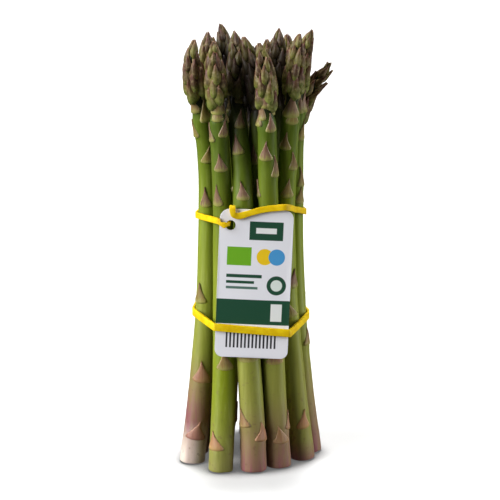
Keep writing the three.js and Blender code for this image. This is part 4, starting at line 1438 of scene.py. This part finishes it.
# %% The layout, in millimetres from the card's middle
PRINT = [
    ("#1f4a35", block, (-3.5, 14.5, 24.0, 34.0)),  # left, right, low and high
    ("#e9ebe9", block, (0.0, 11.0, 27.6, 30.6)),
    ("#6fae24", block, (-15.0, -2.0, 10.0, 20.0)),
    ("#f0c81e", disc, (5.2, 15.0, 4.4)),  # across, up and radius
    ("#4b9ad2", disc, (11.6, 15.0, 4.4)),
    ("#1f4a35", block, (-15.0, 4.0, 3.4, 5.2)),
    ("#1f4a35", block, (-15.0, 0.0, 0.2, 1.7)),
    ("#56756a", block, (-15.0, 2.0, -2.8, -1.4)),
    ("#1f4a35", disc, (12.0, -0.4, 5.2)),
    ("#dfe9e2", disc, (12.0, -0.4, 3.1)),
    ("#1f4a35", block, (-20.5, 20.5, -22.0, -8.5)),
    ("#e9ebe9", block, (9.5, 15.5, -20.0, -10.5)),
    ("#2b2b30", stripes, (-14.0, 14.0, -35.0, -25.5)),
]
BOARD_FIBRE = 900.0  # noise in a metre: fibres about 1 mm long
FIBRE_DEPTH = 0.00005

front_colour = layered(tree, "#ebebf1", [(code, shape(*sizes)) for code, shape, sizes in PRINT])
fibre_place = add(tree, "ShaderNodeTexCoord").node.outputs["Object"]
fibre = add(tree, "ShaderNodeTexNoise", {"Vector": fibre_place, "Scale": BOARD_FIBRE, "Detail": 3.0})
bare_board = layered(tree, "#cfccc2", [("#dedbd2", (fibre, 0.3, 0.7))])
tree.links.new(layered(tree, bare_board, [(front_colour, printed)]), surface["Base Color"])
tree.links.new(share_of(tree, (fibre, 0.3, 0.7, 0.3, 0.42)), surface["Roughness"])
board_grain = add(tree, "ShaderNodeBump", {"Strength": 0.12, "Distance": FIBRE_DEPTH, "Height": fibre})
tree.links.new(board_grain, surface["Normal"])
card_mesh.materials.append(board)
print("shapes on the card:", len(PRINT))

# %% [markdown]
# ## Floor and light
#
# A white floor runs to the horizon. A soft light overhead keeps it white, and it greys only close to the
# bases: partly where they shade it, and partly as a painted contact shadow, where an occlusion node greys
# its colour. The modelling comes from a soft light at the left, so that each stem has a bright left flank
# and a dark right one, and the gaps go deep. A weaker one at the right shows the outermost stems' right
# flanks, and a small low lamp there lights the bases, as a white table does.

# %% Floor
FLOOR_HALF = 7000
FLOOR_BELOW = 0.0002  # in metres, so that the cut ends don't flicker with it
PAINTED_SHADOW_WITHIN = 0.014  # how near an object the floor's colour is greyed, as a painted contact shadow

floor_corners = np.array([(-1, -1, 0), (1, -1, 0), (1, 1, 0), (-1, 1, 0)]) * FLOOR_HALF * METRES
floor = mesh_object("floor", floor_corners, [(0, 1, 2, 3)])
floor.location.z = -FLOOR_BELOW
white, tree, surface = new_material(
    "white_paper_floor",
    {
        "Roughness": 1.0,
        "Specular IOR Level": 0.0,
        "Emission Color": (1.0, 1.0, 1.0, 1.0),
        "Emission Strength": 0.13,
    },
)
painted_shadow_openness = add(tree, "ShaderNodeAmbientOcclusion", {"Distance": PAINTED_SHADOW_WITHIN}, samples=16).node.outputs["AO"]
# Painted contact shadow: the floor's colour greys where the occlusion node finds a base close by.
tree.links.new(share_of(tree, (painted_shadow_openness, 0.5, 0.9, 0.08, 0.7), easing="LINEAR"), surface["Base Color"])
floor.data.materials.append(white)
floor.visible_diffuse = False
floor.visible_glossy = False
print("floor of", 2 * FLOOR_HALF * METRES, "metres")

# %% Light from all round: bright at the left, weaker at the right, dim elsewhere
SOFTBOXES = [((-0.86, -0.35, 0.37), 10.6), ((0.965, -0.04, 0.26), 4.6)]  # towards each one, and its strength
SOFTBOX_EDGE = (0.85, 0.97)  # cosines of the angles where a softbox starts and is full
AMBIENT = 0.04
BELOW_HORIZON = 0.09

world = bpy.data.worlds.new("studio")
world.use_nodes = True
tree = world.node_tree
direction = add(tree, "ShaderNodeTexCoord").node.outputs["Generated"]
light = AMBIENT
for towards, power in SOFTBOXES:
    facing_it = add(tree, "ShaderNodeVectorMath", {0: direction, 1: towards}, operation="DOT_PRODUCT")
    softbox = share_of(tree, (facing_it.node.outputs["Value"], *SOFTBOX_EDGE, 0.0, power))
    light = add(tree, "ShaderNodeMath", {0: light, 1: softbox}, operation="ADD")
upward = add(tree, "ShaderNodeSeparateXYZ", {"Vector": direction}).node.outputs["Z"]
above = share_of(tree, (upward, -0.1, 0.1))
strength = add(tree, "ShaderNodeMix", {"Factor": above, "A": BELOW_HORIZON, "B": light}, data_type="FLOAT")
background = tree.nodes["Background"].inputs
background["Color"].default_value = (1.0, 1.0, 1.0, 1.0)
tree.links.new(strength, background["Strength"])
bpy.context.scene.world = world
bpy.context.scene.view_settings.view_transform = "Standard"
print("softboxes:", len(SOFTBOXES))

# %% Two lamps: one above and a little behind for the floor, and a low one at the right for the bases
LAMPS = [  # name, kind, settings, place in metres, where it shines
    ("above_and_behind", "SUN", dict(angle=math.radians(11), energy=2.9), (0, 0, 0), (0.0, -0.24, -1.0)),
    ("low_at_the_right", "AREA", dict(size=0.1, energy=0.16), (0.26, -0.03, 0.03), (-0.26, 0.03, 0.0)),
]
for name, lamp_kind, settings, lamp_place, shines in LAMPS:
    lamp = bpy.data.lights.new(name, lamp_kind)
    for setting, value in settings.items():
        setattr(lamp, setting, value)
    stand = bpy.data.objects.new(name, lamp)
    stand.location = lamp_place
    stand.rotation_euler = Vector(shines).to_track_quat("-Z", "Y").to_euler()
    bpy.context.scene.collection.objects.link(stand)
print("lamps:", [row[0] for row in LAMPS])
